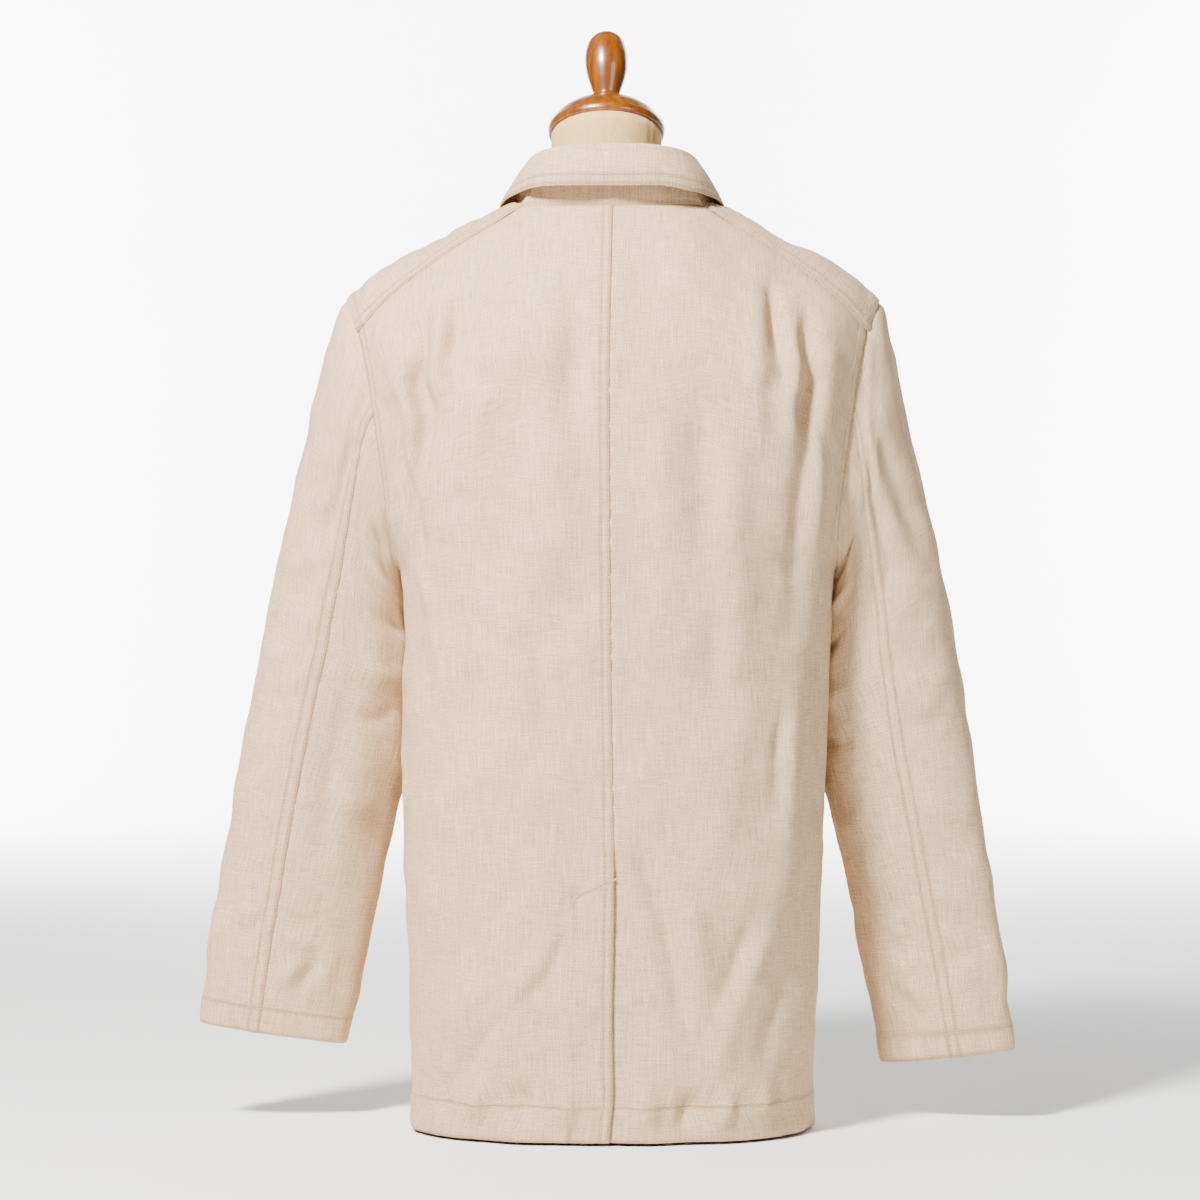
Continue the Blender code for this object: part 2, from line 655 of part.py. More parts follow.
def armhole_vertex(side, face, step):
    """A point of the armhole's edge; between whole steps it lies on the straight edge."""
    whole = min(int(step), ARMHOLE_STEPS - 1)
    ends = [body_point(side, face, *armhole_place(side, face, whole + i)) for i in (0, 1)]
    return ends[0].lerp(ends[1], step - whole)


def armhole_outward(side):
    """The way out of the armhole, where the sleeve begins."""
    return Vector((side * cos(ARMHOLE_LEAN), 0.0, sin(ARMHOLE_LEAN)))


def sleeve_start(side, face, step):
    """The sleeve's first ring: the armhole's edge, moved out by the seam's gap."""
    gap = blend(UNDERARM_GAP, ARMHOLE_GAP, ease(step / 2.5))
    return armhole_vertex(side, face, step) + gap * armhole_outward(side)


def ring_angle(row, face, step):
    """The angle round a section: 0 at the outer edge, then the back, the inner edge, the front."""
    if face > 0:
        seam = row.back_seam
        if step >= BACK_SEAM_STEP:
            return seam * (ARMHOLE_STEPS - step) / (ARMHOLE_STEPS - BACK_SEAM_STEP)
        return blend(180.0, seam, step / BACK_SEAM_STEP)
    seam = row.front_seam
    if step >= FRONT_SEAM_STEP:
        return blend(seam, 360.0, (step - FRONT_SEAM_STEP) / (ARMHOLE_STEPS - FRONT_SEAM_STEP))
    return blend(180.0, seam, step / FRONT_SEAM_STEP)


def rounded(value):
    size = abs(value) ** (2 / SLEEVE_SQUARENESS)
    return size if value >= 0 else -size


def clear_of_body(side, point):
    """Moves a point of a sleeve out to just clear of the jacket's side."""
    if point.z > UNDERARM_Z:
        return point
    margin = blend(UNDERARM_GAP, BODY_MARGIN, ease((UNDERARM_Z - point.z) / 0.05))
    x = side * (point.x - CENTRE_X)
    wide = half_width(side, point.z) + margin
    deep = read(BODY, "back" if point.y > 0 else "front", point.z) + margin
    inside = (abs(x) / wide) ** SQUARENESS + (abs(point.y) / deep) ** SQUARENESS
    if inside >= 1.0:
        return point
    grow = inside ** (-1 / SQUARENESS)
    return Vector((CENTRE_X + side * x * grow, point.y * grow, point.z))


def sleeve_station(side, number, face, step):
    """A point of one of the sleeve's given sections."""
    if number == 0:
        return sleeve_start(side, face, step)
    row = (SLEEVE_LEFT if side > 0 else SLEEVE_RIGHT)[number - 1]
    inner = Vector((row.inner_x, 0.0, row.inner_z))
    outer = Vector((row.outer_x, 0.0, row.outer_z))
    wide = (outer - inner) / 2
    turn = radians(row.turn)
    back = Vector((0.0, 1.0, 0.0))
    half = wide.length / cos(turn)
    first = wide.normalized() * cos(turn) + back * sin(turn)
    second = back * cos(turn) - wide.normalized() * sin(turn)
    round_angle = radians(ring_angle(row, face, step))
    middle = (inner + outer) / 2 + back * row.centre_y
    point = middle + first * half * rounded(cos(round_angle))
    point += second * row.half_depth * rounded(sin(round_angle))
    point.x = CENTRE_X + side * point.x
    return clear_of_body(side, point)


def sleeve_point(side, ring, face, step):
    """A point of the sleeve, smoothly joined between its given sections."""
    last = 9
    low = min(int(ring), last - 1)
    t = ring - low
    here = sleeve_station(side, low, face, step)
    there = sleeve_station(side, low + 1, face, step)
    if low == 0:
        start = armhole_outward(side) * (there - here).length * 0.9
    else:
        start = (there - sleeve_station(side, low - 1, face, step)) / 2
    if low + 2 <= last:
        end = (sleeve_station(side, low + 2, face, step) - here) / 2
    else:
        end = there - here
    point = (1 + 2 * t) * (1 - t) ** 2 * here + t * t * (3 - 2 * t) * there
    point += t * (1 - t) ** 2 * start + t * t * (t - 1) * end
    return clear_of_body(side, point)


def sleeve_columns(names_top):
    """The (face, step) of each column of a top or an under sleeve, seam to seam."""
    shift = SLEEVE_SEAM_SHIFT
    if names_top:
        back = [(1, BACK_SEAM_STEP + shift)]
        back += [(1, step) for step in range(BACK_SEAM_STEP + 1, ARMHOLE_STEPS + 1)]
        front = [(-1, step) for step in range(ARMHOLE_STEPS - 1, FRONT_SEAM_STEP, -1)]
        return back + front + [(-1, FRONT_SEAM_STEP + shift)]
    front = [(-1, FRONT_SEAM_STEP - shift)]
    front += [(-1, step) for step in range(FRONT_SEAM_STEP - 1, -1, -1)]
    back = [(1, step) for step in range(1, BACK_SEAM_STEP)]
    return front + back + [(1, BACK_SEAM_STEP - shift)]


def build_sleeve(name, side, top, material):
    columns = sleeve_columns(top)

    def place(i, j):
        face, step = columns[i]
        return sleeve_point(side, SLEEVE_RINGS[j], face, step)

    return cloth_sheet(
        name, len(columns) - 1, len(SLEEVE_RINGS) - 1, place, material, flip=side > 0)


# ------------------------------------------------------------------- collar


def half_neckline(side):
    """The panels' neck edges as points, from the middle of the back to the front's lap."""
    corner = BACK_COLUMNS.index(NECK_COLUMN_SHARE)
    points = [back_vertex(side, i, BACK_ROWS) for i in range(corner + 1)]
    lap_end = LOWER_ROWS + NECK_CORNER_STEP
    points += [front_vertex(side, 0, j) for j in range(FRONT_ROWS, lap_end, -1)]
    middle = body_at(side, -1, 0.0, NECK_FRONT_Z)
    return points + [middle]


def along_points(points, share):
    """A point at a share of the whole length of a chain of points."""
    lengths = [(b - a).length for a, b in zip(points, points[1:])]
    left = share * sum(lengths)
    for (start, end), length in zip(zip(points, points[1:]), lengths):
        if left <= length:
            return start.lerp(end, left / length)
        left -= length
    return points[-1]


def collar_fold(side, along):
    return Vector((
        CENTRE_X + side * read(COLLAR, "fold_x", along),
        read(COLLAR, "fold_y", along),
        read(COLLAR, "fold_z", along)))


def collar_section(column, necklines):
    """The neck seam, fold, free edge and outward direction of the collar at a column."""
    share = (column / COLLAR_STEPS_EACH_SIDE - 1.0) * COLLAR_END
    side = -1 if share < 0 else 1
    along = abs(share)
    seam = along_points(necklines[side], along)
    fold = collar_fold(side, along)
    edge = Vector((
        CENTRE_X + side * read(COLLAR, "edge_x", along),
        read(COLLAR, "edge_y", along),
        read(COLLAR, "edge_z", along)))
    step = 0.02
    run = collar_fold(side, min(along + step, 1.0)) - collar_fold(side, max(along - step, 0.0))
    away = Vector((-run.y * side, run.x * side, 0.0)) if along > step else Vector((0.0, 1.0, 0.0))
    return seam, fold, edge, away.normalized()


def collar_sections():
    necklines = {side: half_neckline(side) for side in (-1, 1)}
    return [collar_section(i, necklines) for i in range(2 * COLLAR_STEPS_EACH_SIDE + 1)]


def stand_top(seam, fold):
    """Where the stand ends and the fall begins, on the way up to the fold."""
    return fold - (fold - seam).normalized() * FOLD_RISE


def build_collar_stand(name, material):
    rows = 3
    sections = collar_sections()

    def place(i, j):
        seam, fold, _, _ = sections[i]
        up = (fold - seam).normalized()
        top = stand_top(seam, fold) - up * STAND_GAP
        bottom = seam + up * STAND_START
        return bottom.lerp(top, j / rows)

    return cloth_sheet(name, 2 * COLLAR_STEPS_EACH_SIDE, rows, place, material, flip=True)


def build_collar_fall(name, material):
    turn_steps = 4
    leaf_steps = 4
    sections = collar_sections()

    def place(i, j):
        seam, fold, edge, away = sections[i]
        start = stand_top(seam, fold)
        if j <= turn_steps:
            bend = pi * j / turn_steps
            out = (1 - cos(bend)) / 2 * FOLD_OUT
            return start + away * out + (fold - start) * sin(bend)
        share = (j - turn_steps) / leaf_steps
        turned = start + away * FOLD_OUT
        return turned.lerp(edge, share) + away * (0.003 * sin(pi * share))

    return cloth_sheet(
        name, 2 * COLLAR_STEPS_EACH_SIDE, turn_steps + leaf_steps, place, material, flip=True)


# ------------------------------------------------------ pockets and buttons


def front_spot(side, line, level):
    """A point on the flat faces of a front's grid, and the outward direction there."""
    i = min(int(line), len(FRONT_COLUMNS) - 2)
    j = int(level)
    corners = [[front_vertex(side, i + a, j + b) for a in (0, 1)] for b in (0, 1)]
    low = corners[0][0].lerp(corners[0][1], line - i)
    high = corners[1][0].lerp(corners[1][1], line - i)
    before = front_vertex(side, max(i - (line == i), 0), j)
    across = front_vertex(side, i + 1, j) - before
    up = corners[1][0] - corners[0][0]
    normal = (across.cross(up) * side).normalized()
    return low.lerp(high, level - j), normal


def build_pocket(name, side, material):
    def place(i, j):
        point, normal = front_spot(side, POCKET_LINES[i], POCKET_LEVELS[j])
        return point + normal * POCKET_LIFT

    return cloth_sheet(
        name, len(POCKET_LINES) - 1, len(POCKET_LEVELS) - 1, place, material, flip=True)


def build_button(name, z, material):
    """A turned button on the left front, its back on the cloth."""
    button = turned_solid(name, BUTTON_PROFILE, BUTTON_THICKNESS, 20, material)
    lap = angle_at(1, -FRONT_LAP, z)
    line = -lap / (pi / 2 - lap) / FRONT_COLUMNS[1]
    if z > UNDERARM_Z:
        row = LOWER_ROWS + NECK_CORNER_STEP * (z - UNDERARM_Z) / (NECK_FRONT_Z - UNDERARM_Z)
    else:
        low = max(i for i in range(LOWER_ROWS) if LOWER_HEIGHTS[i] <= z)
        row = low + (z - LOWER_HEIGHTS[low]) / (LOWER_HEIGHTS[low + 1] - LOWER_HEIGHTS[low])
    spot, normal = front_spot(1, line, row)
    seat = spot + normal * (WALL / 2 + BUTTON_SEAT)
    button.matrix_world = Matrix.Translation(seat) @ normal.to_track_quat("Z", "Y").to_matrix().to_4x4()
    return button


# --------------------------------------------------------------- dress form


def section_radius(heading, z):
    """The distance from the jacket's axis to its surface at a height, in one direction."""
    side = 1 if sin(heading) >= 0 else -1
    face = 1 if cos(heading) >= 0 else -1

    def beyond(radius):
        x = abs(radius * sin(heading))
        y = abs(radius * cos(heading))
        if x >= half_width(side, z) or ridge(x) <= z:
            return True
        level = level_at(face, x, z)
        return y >= depth_at(side, face, x, z, level)

    low = 0.0
    high = 0.30
    for _ in range(26):
        middle = (low + high) / 2
        if beyond(middle):
            high = middle
        else:
            low = middle
    return low


def form_radius(heading, row):
    reach = section_radius(heading, row.z + FORM_CLEAR_DOWN) * row.scale - FORM_CLEAR_OUT
    reach -= FORM_CLEAR_LAP * max(-cos(heading), 0.0) ** 4
    limit = row.side_limit / max(abs(sin(heading)), 0.001)
    reach = min(reach, limit)
    if row.z < NECK_BLEND_Z:
        return reach
    return max(reach, FORM_NECK_RADIUS)


def form_vertex(column, number):
    row = FORM[number]
    heading = 2 * pi * column / FORM_SIDES
    radius = form_radius(heading, row)
    raised = ease((row.z - FORM_TILT_START_Z) / (FORM_NECK_Z - FORM_TILT_START_Z))
    offset = CENTRE_X * ease((FORM_TILT_START_Z - row.z) / 0.06)
    x = offset + radius * sin(heading)
    y = radius * cos(heading)
    return Vector((x, y, row.z + y * tan(FORM_NECK_TILT) * raised))


def build_form_torso(name, material):
    return closed_loft(name, FORM_SIDES, len(FORM) - 1, form_vertex, material)


def neck_frame():
    """The tilted frame that the wooden cap and finial stand in."""
    place = Matrix.Translation(Vector((0.0, 0.0, FORM_NECK_Z)))
    return place @ Matrix.Rotation(FORM_NECK_TILT, 4, "X")


def build_cap(name, material):
    cap = turned_solid(name, CAP_PROFILE, CAP_HEIGHT, 48, material)
    cap.matrix_world = neck_frame() @ Matrix.Translation(Vector((0.0, 0.0, 0.0004)))
    return cap


def build_finial(name, material):
    finial = turned_solid(name, FINIAL_PROFILE, FINIAL_HEIGHT, 28, material)
    lift = 0.0004 + CAP_HEIGHT + 0.0003
    finial.matrix_world = neck_frame() @ Matrix.Translation(Vector((0.0, 0.0, lift)))
    return finial


def build_foot(name, material):
    edge = 0.003
    profile = (
        ProfileRow(0.0, 1.0),
        ProfileRow(FORM_FOOT_RADIUS - edge, 1.0),
        ProfileRow(FORM_FOOT_RADIUS, 1.0 - edge / FORM_FOOT_HEIGHT),
        ProfileRow(FORM_FOOT_RADIUS, 0.0),
        ProfileRow(0.0, 0.0),
    )
    return turned_solid(name, profile, FORM_FOOT_HEIGHT, 40, material)


# ------------------------------------------------------------ making meshes


def new_material(name, colour, roughness):
    material = bpy.data.materials.new(name)
    material.use_nodes = True
    shader = material.node_tree.nodes["Principled BSDF"]
    shader.inputs["Base Color"].default_value = (*colour, 1.0)
    shader.inputs["Roughness"].default_value = roughness
    return material


def finish_object(name, bm, material, smooth_angle=50.0):
    mesh = bpy.data.meshes.new(name)
    bm.to_mesh(mesh)
    bm.free()
    mesh.materials.append(material)
    mesh.shade_smooth()
    mesh.set_sharp_from_angle(angle=radians(smooth_angle))
    made = bpy.data.objects.new(name, mesh)
    PARTS.objects.link(made)
    return made


def place_grid(columns, rows, place, skip=None):
    """A grid of faces, less those to skip, whose corners are put where a function says."""
    bm = bmesh.new()
    bmesh.ops.create_grid(bm, x_segments=columns, y_segments=rows, size=1.0)
    spots = {}
    for vertex in bm.verts:
        i = round((vertex.co.x + 1.0) / 2 * columns)
        j = round((vertex.co.y + 1.0) / 2 * rows)
        spots[vertex] = (i, j)
    if skip:
        unwanted = []
        for face in bm.faces:
            corner_i = min(spots[vertex][0] for vertex in face.verts)
            corner_j = min(spots[vertex][1] for vertex in face.verts)
            if skip(corner_i, corner_j):
                unwanted.append(face)
        bmesh.ops.delete(bm, geom=unwanted, context="FACES")
    for vertex in bm.verts:
        vertex.co = place(*spots[vertex])
    return bm


def cloth_sheet(name, columns, rows, place, material, skip=None, flip=False):
    """A cut piece of cloth: an open grid given its wall by a Solidify modifier."""
    bm = place_grid(columns, rows, place, skip)
    if flip:
        bmesh.ops.reverse_faces(bm, faces=bm.faces)
    made = finish_object(name, bm, material)
    wall = made.modifiers.new("wall", "SOLIDIFY")
    wall.thickness = WALL
    wall.offset = 0.0
    wall.use_even_offset = True
    wall.use_quality_normals = True
    return made


def closed_loft(name, sides, rows, place, material):
    """A solid through rings: a grid wrapped round, its seam welded and its ends filled."""
    bm = place_grid(sides, rows, lambda i, j: place(i % sides, j))
    bmesh.ops.remove_doubles(bm, verts=bm.verts, dist=0.00001)
    bmesh.ops.holes_fill(bm, edges=bm.edges, sides=0)
    bmesh.ops.recalc_face_normals(bm, faces=bm.faces)
    return finish_object(name, bm, material)


def turned_solid(name, profile, height, sides, material):
    """A profile, top to bottom along its outer side, turned by a Screw modifier."""
    bm = bmesh.new()
    corners = [bm.verts.new((row.radius, 0.0, row.height * height)) for row in profile]
    for first, second in zip(corners, corners[1:]):
        bm.edges.new((first, second))
    made = finish_object(name, bm, material, 35.0)
    turn = made.modifiers.new("turn", "SCREW")
    turn.steps = sides
    turn.render_steps = sides
    turn.use_merge_vertices = True
    turn.merge_threshold = 0.00001
    turn.use_smooth_shade = True
    return made


# ----------------------------------------------------------------- assembly


def clear_scene():
    for old in list(bpy.data.objects):
        bpy.data.objects.remove(old, do_unlink=True)


def new_collection(name):
    collection = bpy.data.collections.new(name)
    bpy.context.scene.collection.children.link(collection)
    return collection


def build_jacket(linen, horn):
    build_back("back_left", 1, linen)
    build_back("back_right", -1, linen)
    build_front("front_left", 1, linen)
    build_front("front_right", -1, linen)
    for side, word in ((1, "left"), (-1, "right")):
        build_sleeve("top_sleeve_" + word, side, True, linen)
        build_sleeve("under_sleeve_" + word, side, False, linen)
        build_pocket("pocket_hip_" + word, side, linen)
    build_collar_stand("collar_stand", linen)
    build_collar_fall("collar_fall", linen)
    for number in range(BUTTON_COUNT):
        build_button("button_%d" % (number + 1), BUTTON_TOP_Z - BUTTON_PITCH * number, horn)


def build_form(cover, wood):
    build_form_torso("form_torso", cover)
    build_cap("form_neck_cap", wood)
    build_finial("form_finial", wood)
    build_foot("form_foot", wood)


clear_scene()
PARTS = new_collection("chore_jacket_on_dress_form")
build_jacket(
    new_material("linen", (0.68, 0.60, 0.51), 0.90),
    new_material("horn", (0.30, 0.20, 0.12), 0.35),
)
build_form(
    new_material("cover", (0.72, 0.60, 0.44), 0.85),
    new_material("wood", (0.50, 0.22, 0.06), 0.25),
)
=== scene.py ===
"""A linen chore jacket on a limbless dress form, dressed over its solid model.

Every piece of cloth is a fine sheet on the same surface that its solid follows,
with its creases, seams and hems pressed in, and its rows of stitches laid on top.
"""

from collections import namedtuple
from math import acos, asin, cos, exp, hypot, pi, radians, sin, tan

import bmesh
import bpy
import numpy
from mathutils import Matrix, Vector


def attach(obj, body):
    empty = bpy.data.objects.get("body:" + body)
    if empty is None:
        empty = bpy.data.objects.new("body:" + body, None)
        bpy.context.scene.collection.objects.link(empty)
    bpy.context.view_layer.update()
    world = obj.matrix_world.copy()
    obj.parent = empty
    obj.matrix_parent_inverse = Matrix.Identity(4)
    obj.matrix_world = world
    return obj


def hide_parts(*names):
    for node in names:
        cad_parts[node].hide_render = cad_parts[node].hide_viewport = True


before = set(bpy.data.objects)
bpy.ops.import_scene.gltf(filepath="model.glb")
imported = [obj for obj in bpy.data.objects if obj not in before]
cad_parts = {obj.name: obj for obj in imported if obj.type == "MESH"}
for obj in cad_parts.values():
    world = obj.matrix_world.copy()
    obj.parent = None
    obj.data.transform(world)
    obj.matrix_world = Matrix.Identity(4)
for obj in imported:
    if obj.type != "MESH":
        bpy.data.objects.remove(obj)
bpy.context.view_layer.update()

bl_info = {
    "name": "Chore jacket on a dress form",
    "version": (1, 0, 0),
    "blender": (4, 5, 0),
    "location": "View3D > Sidebar > Jacket",
    "description": "Dresses the solid model of a linen chore jacket and its dress form",
    "category": "Object",
}

# ---------------------------------------------------------------- driving sizes

CENTRE_X = -0.0055          # the jacket hangs a little to the wearer's right
HEM_Z = 0.0030
UNDERARM_Z = 0.4880
TIP_Z = 0.7260
SHOULDER_HALF = 0.2335
SHOULDER_MID_Z = 0.763
SQUARENESS = 2.4            # exponent of the body's rounded sections
ARCH_BACK = (0.17, 0.11)    # height of the shoulder arch at the neck and at the tip
ARCH_FRONT = (0.27, 0.12)

VENT_TOP_Z = 0.2220
VENT_UNDERLAP = 0.033
VENT_SLANT = 0.015
FRONT_LAP = 0.022
LAP_DROP = 0.0034           # how far a lapped edge lies below its cover
NECK_LAP_DEEPER = 1.7       # more of it at the neck's corner, where the cloth bends most
NECK_LAP_FADE = 0.04
VENT_LAP_FADE = 0.035
BACK_LAP_END, BACK_LAP_FADE = 0.022, 0.018    # where a lapped edge has risen to its cover
FRONT_LAP_END, FRONT_LAP_FADE = 0.050, 0.024

NECK_BACK_Z = 0.8018
NECK_SEAM_END = (0.0765, 0.8047)
NECK_RIDGE_X = 0.0865
NECK_FRONT_Z = 0.7480

ARMHOLE_STEPS = 10
ARMHOLE_SHARES = (0.0, 0.03, 0.09, 0.175, 0.285, 0.425, 0.585, 0.745, 0.881, 0.969, 1.0)
SHOULDER_SEAM_STEP = 8      # the back-set shoulder seam ends at this step of the back armhole
BACK_SEAM_STEP = 6          # the sleeve's back seam starts here
FRONT_SEAM_STEP = 3         # the sleeve's front seam starts here
ARMHOLE_LEAN = radians(10.0)
UNDERARM_GAP = -0.0008

FORM_NECK_RADIUS = 0.0485
FORM_NECK_Z = 0.8695
FORM_NECK_TILT = radians(19.0)
NECK_BLEND_Z = 0.743
CAP_HEIGHT = 0.0335
FINIAL_HEIGHT = 0.0680

BUTTON_TOP_Z = 0.7050
BUTTON_PITCH = 0.122
BUTTON_COUNT = 5


def table(columns, *rows):
    """Rows of values under named columns."""
    kind = namedtuple("Row", columns)
    return tuple(kind(*row) for row in rows)


BODY = table(
    "z half_left half_right back front",
    (0.0030, 0.1750, 0.1750, 0.128, 0.140),
    (0.0730, 0.1770, 0.1762, 0.130, 0.143),
    (0.1530, 0.1785, 0.1808, 0.131, 0.145),
    (0.2330, 0.1825, 0.1835, 0.130, 0.146),
    (0.3230, 0.1845, 0.1868, 0.127, 0.144),
    (0.3830, 0.1835, 0.1880, 0.126, 0.142),
    (0.4430, 0.1815, 0.1905, 0.127, 0.142),
    (0.4880, 0.1860, 0.1945, 0.129, 0.143),
    (0.5330, 0.2025, 0.2050, 0.131, 0.144),
    (0.5830, 0.2155, 0.2155, 0.131, 0.144),
    (0.6330, 0.2250, 0.2250, 0.129, 0.142),
    (0.6830, 0.2345, 0.2345, 0.125, 0.138),
    (0.7430, 0.2430, 0.2430, 0.121, 0.132),
    (0.8330, 0.2500, 0.2500, 0.118, 0.128),
)

RIDGE = table(
    "x z",
    (0.0000, 0.8330),
    (0.0500, 0.8250),
    (0.0865, 0.8120),
    (0.1000, 0.8045),
    (0.1300, 0.7900),
    (0.1600, 0.7740),
    (0.1900, 0.7595),
    (0.2100, 0.7480),
    (0.2250, 0.7360),
    (0.2335, 0.7262),
    (0.2500, 0.7030),
)

ARMHOLE = table(
    "z back front",
    (0.5330, 0.1950, 0.1930),
    (0.5830, 0.2010, 0.1985),
    (0.6330, 0.2080, 0.2060),
    (0.6755, 0.2155, 0.2140),
    (0.6976, 0.2215, 0.2205),
    (0.7262, 0.2335, 0.2335),
)

CENTRE_SEAM = table(
    "z x",
    (0.0030, 0.0045),
    (0.0430, 0.0010),
    (0.1030, 0.0018),
    (0.2330, 0.0000),
    (0.3830, 0.0020),
    (0.5830, 0.0035),
    (0.6830, 0.0035),
    (0.8020, 0.0008),
)

# side and face that a soft fold is on, its lateral place at its two ends, its
# two ends, half its width, and how far it swells (or, below zero, sinks)
FOLDS = table(
    "side face low_x high_x low_z high_z width swell",
    (-1, 1, 0.178, 0.186, 0.5430, 0.7430, 0.0100, 0.0045),
    (-1, 1, 0.158, 0.168, 0.5030, 0.7480, 0.0095, -0.0045),
    (-1, 1, 0.138, 0.150, 0.5430, 0.7230, 0.0110, 0.0030),
    (1, 1, 0.176, 0.190, 0.5430, 0.7280, 0.0095, 0.0035),
    (1, 1, 0.160, 0.172, 0.5230, 0.7230, 0.0090, -0.0030),
    (1, 1, 0.120, 0.126, 0.5230, 0.7030, 0.0130, 0.0025),
    (1, 1, 0.060, 0.070, 0.1030, 0.5030, 0.0220, 0.0030),
    (-1, 1, 0.028, 0.022, 0.0430, 0.3130, 0.0130, -0.0035),
    (-1, 1, 0.110, 0.100, 0.0630, 0.4630, 0.0260, 0.0035),
    (1, -1, 0.150, 0.165, 0.5230, 0.7130, 0.0110, 0.0040),
    (-1, -1, 0.150, 0.165, 0.5330, 0.7180, 0.0110, 0.0040),
    (1, -1, 0.120, 0.130, 0.5230, 0.7030, 0.0110, -0.0030),
    (-1, -1, 0.125, 0.132, 0.5330, 0.7030, 0.0110, -0.0030),
)

NECK_COLUMN_SHARE = 0.2235

FRONT_NECKLINE = table(
    "step x z",
    (6, 0.0000, 0.7480),
    (7, 0.0480, 0.7525),
    (8, 0.0715, 0.7665),
    (9, 0.0830, 0.7890),
    (10, 0.0865, 0.8120),
)
NECK_CORNER_STEP = 6

# a section of the sleeve: its edge near the body and its outer edge seen from
# the back, how far forward it lies, half its depth, how far it is turned about
# its length, and the place round it of its back and front seams
SLEEVE_COLUMNS = "inner_x inner_z outer_x outer_z centre_y half_depth turn back_seam front_seam"
SLEEVE_LEFT = table(
    SLEEVE_COLUMNS,
    (0.1900, 0.4820, 0.2488, 0.6864, -0.003, 0.0600, 4.0, 76.0, 236.0),
    (0.1875, 0.4700, 0.2632, 0.6292, -0.010, 0.0590, 9.0, 77.0, 236.0),
    (0.1830, 0.4510, 0.2757, 0.5711, -0.018, 0.0570, 15.0, 79.0, 236.0),
    (0.1760, 0.4230, 0.2890, 0.5080, -0.026, 0.0550, 20.0, 80.0, 236.0),
    (0.1740, 0.3830, 0.3015, 0.4510, -0.030, 0.0520, 22.0, 78.0, 236.0),
    (0.1815, 0.3274, 0.3180, 0.3680, -0.032, 0.0450, 20.0, 75.0, 236.0),
    (0.2000, 0.2480, 0.3380, 0.2630, -0.034, 0.0370, 15.0, 76.0, 236.0),
    (0.2203, 0.1473, 0.3560, 0.1670, -0.038, 0.0300, 10.0, 79.0, 236.0),
    (0.2381, 0.0671, 0.3658, 0.0875, -0.042, 0.0255, 8.0, 81.0, 236.0),
)
SLEEVE_RIGHT = table(
    SLEEVE_COLUMNS,
    (0.1975, 0.4820, 0.2449, 0.6846, -0.003, 0.0600, 4.0, 80.0, 236.0),
    (0.1940, 0.4700, 0.2560, 0.6330, -0.010, 0.0590, 9.0, 84.0, 236.0),
    (0.1890, 0.4510, 0.2690, 0.5770, -0.018, 0.0570, 15.0, 88.0, 236.0),
    (0.1820, 0.4230, 0.2825, 0.5130, -0.026, 0.0550, 20.0, 90.0, 236.0),
    (0.1790, 0.3830, 0.2945, 0.4530, -0.030, 0.0520, 22.0, 91.0, 236.0),
    (0.1850, 0.3256, 0.3108, 0.3580, -0.032, 0.0450, 22.0, 91.0, 236.0),
    (0.2030, 0.2480, 0.3275, 0.2510, -0.034, 0.0370, 20.0, 90.0, 236.0),
    (0.2200, 0.1630, 0.3415, 0.1680, -0.038, 0.0300, 19.0, 88.0, 236.0),
    (0.2430, 0.0495, 0.3551, 0.0646, -0.042, 0.0255, 20.0, 86.0, 236.0),
)
SLEEVE_SECTIONS = len(SLEEVE_LEFT)
SLEEVE_SQUARENESS = 2.2
BODY_MARGIN = -0.0005       # the sleeve touches the body's side below the armhole

# half of the collar, from the middle of the back to the front end: how far along
# the neckline a station lies, the fold at the top and the free edge of the fall
COLLAR = table(
    "along fold_x fold_y fold_z edge_x edge_y edge_z",
    (0.00, 0.0000, 0.0710, 0.8542, 0.0000, 0.0815, 0.8175),
    (0.12, 0.0290, 0.0685, 0.8540, 0.0330, 0.0795, 0.8180),
    (0.24, 0.0520, 0.0560, 0.8520, 0.0600, 0.0700, 0.8182),
    (0.36, 0.0650, 0.0320, 0.8490, 0.0800, 0.0500, 0.8165),
    (0.50, 0.0690, -0.0020, 0.8430, 0.0965, 0.0080, 0.8110),
    (0.64, 0.0650, -0.0390, 0.8270, 0.1035, -0.0480, 0.7990),
    (0.77, 0.0540, -0.0660, 0.8080, 0.1010, -0.0880, 0.7740),
    (0.89, 0.0340, -0.0840, 0.7870, 0.0900, -0.1130, 0.7450),
    (1.00, 0.0090, -0.0930, 0.7700, 0.0720, -0.1290, 0.7200),
)
COLLAR_STEPS_EACH_SIDE = 18
COLLAR_END = 0.985
FOLD_RISE = 0.0070          # how far the turn of the collar stands over the stand
FOLD_OUT = 0.0064

FORM = table(
    "z scale side_limit",
    (0.0123, 0.8700, 0.152),
    (0.0300, 0.8900, 0.156),
    (0.0830, 0.9000, 0.162),
    (0.2030, 0.8950, 0.164),
    (0.3030, 0.8600, 0.155),
    (0.3830, 0.8300, 0.148),
    (0.4630, 0.8500, 0.156),
    (0.5430, 0.8900, 0.176),
    (0.6130, 0.9200, 0.187),
    (0.6730, 0.9600, 0.195),
    (0.7080, 0.9900, 0.200),
    (0.7280, 1.0000, 0.200),
    (0.7450, 1.0000, 0.200),
    (0.7610, 1.0000, 0.200),
    (0.7750, 1.0000, 0.200),
    (0.7880, 1.0000, 0.200),
    (0.8000, 1.0000, 0.200),
    (0.8110, 1.0000, 0.200),
    (0.8230, 1.0000, 0.200),
    (0.8380, 1.0000, 0.200),
    (0.8530, 1.0000, 0.200),
    (0.8695, 1.0000, 0.200),
)
FORM_CLEAR_OUT = 0.0050
FORM_CLEAR_LAP = 0.0030     # more of it in front, under the fronts' lap
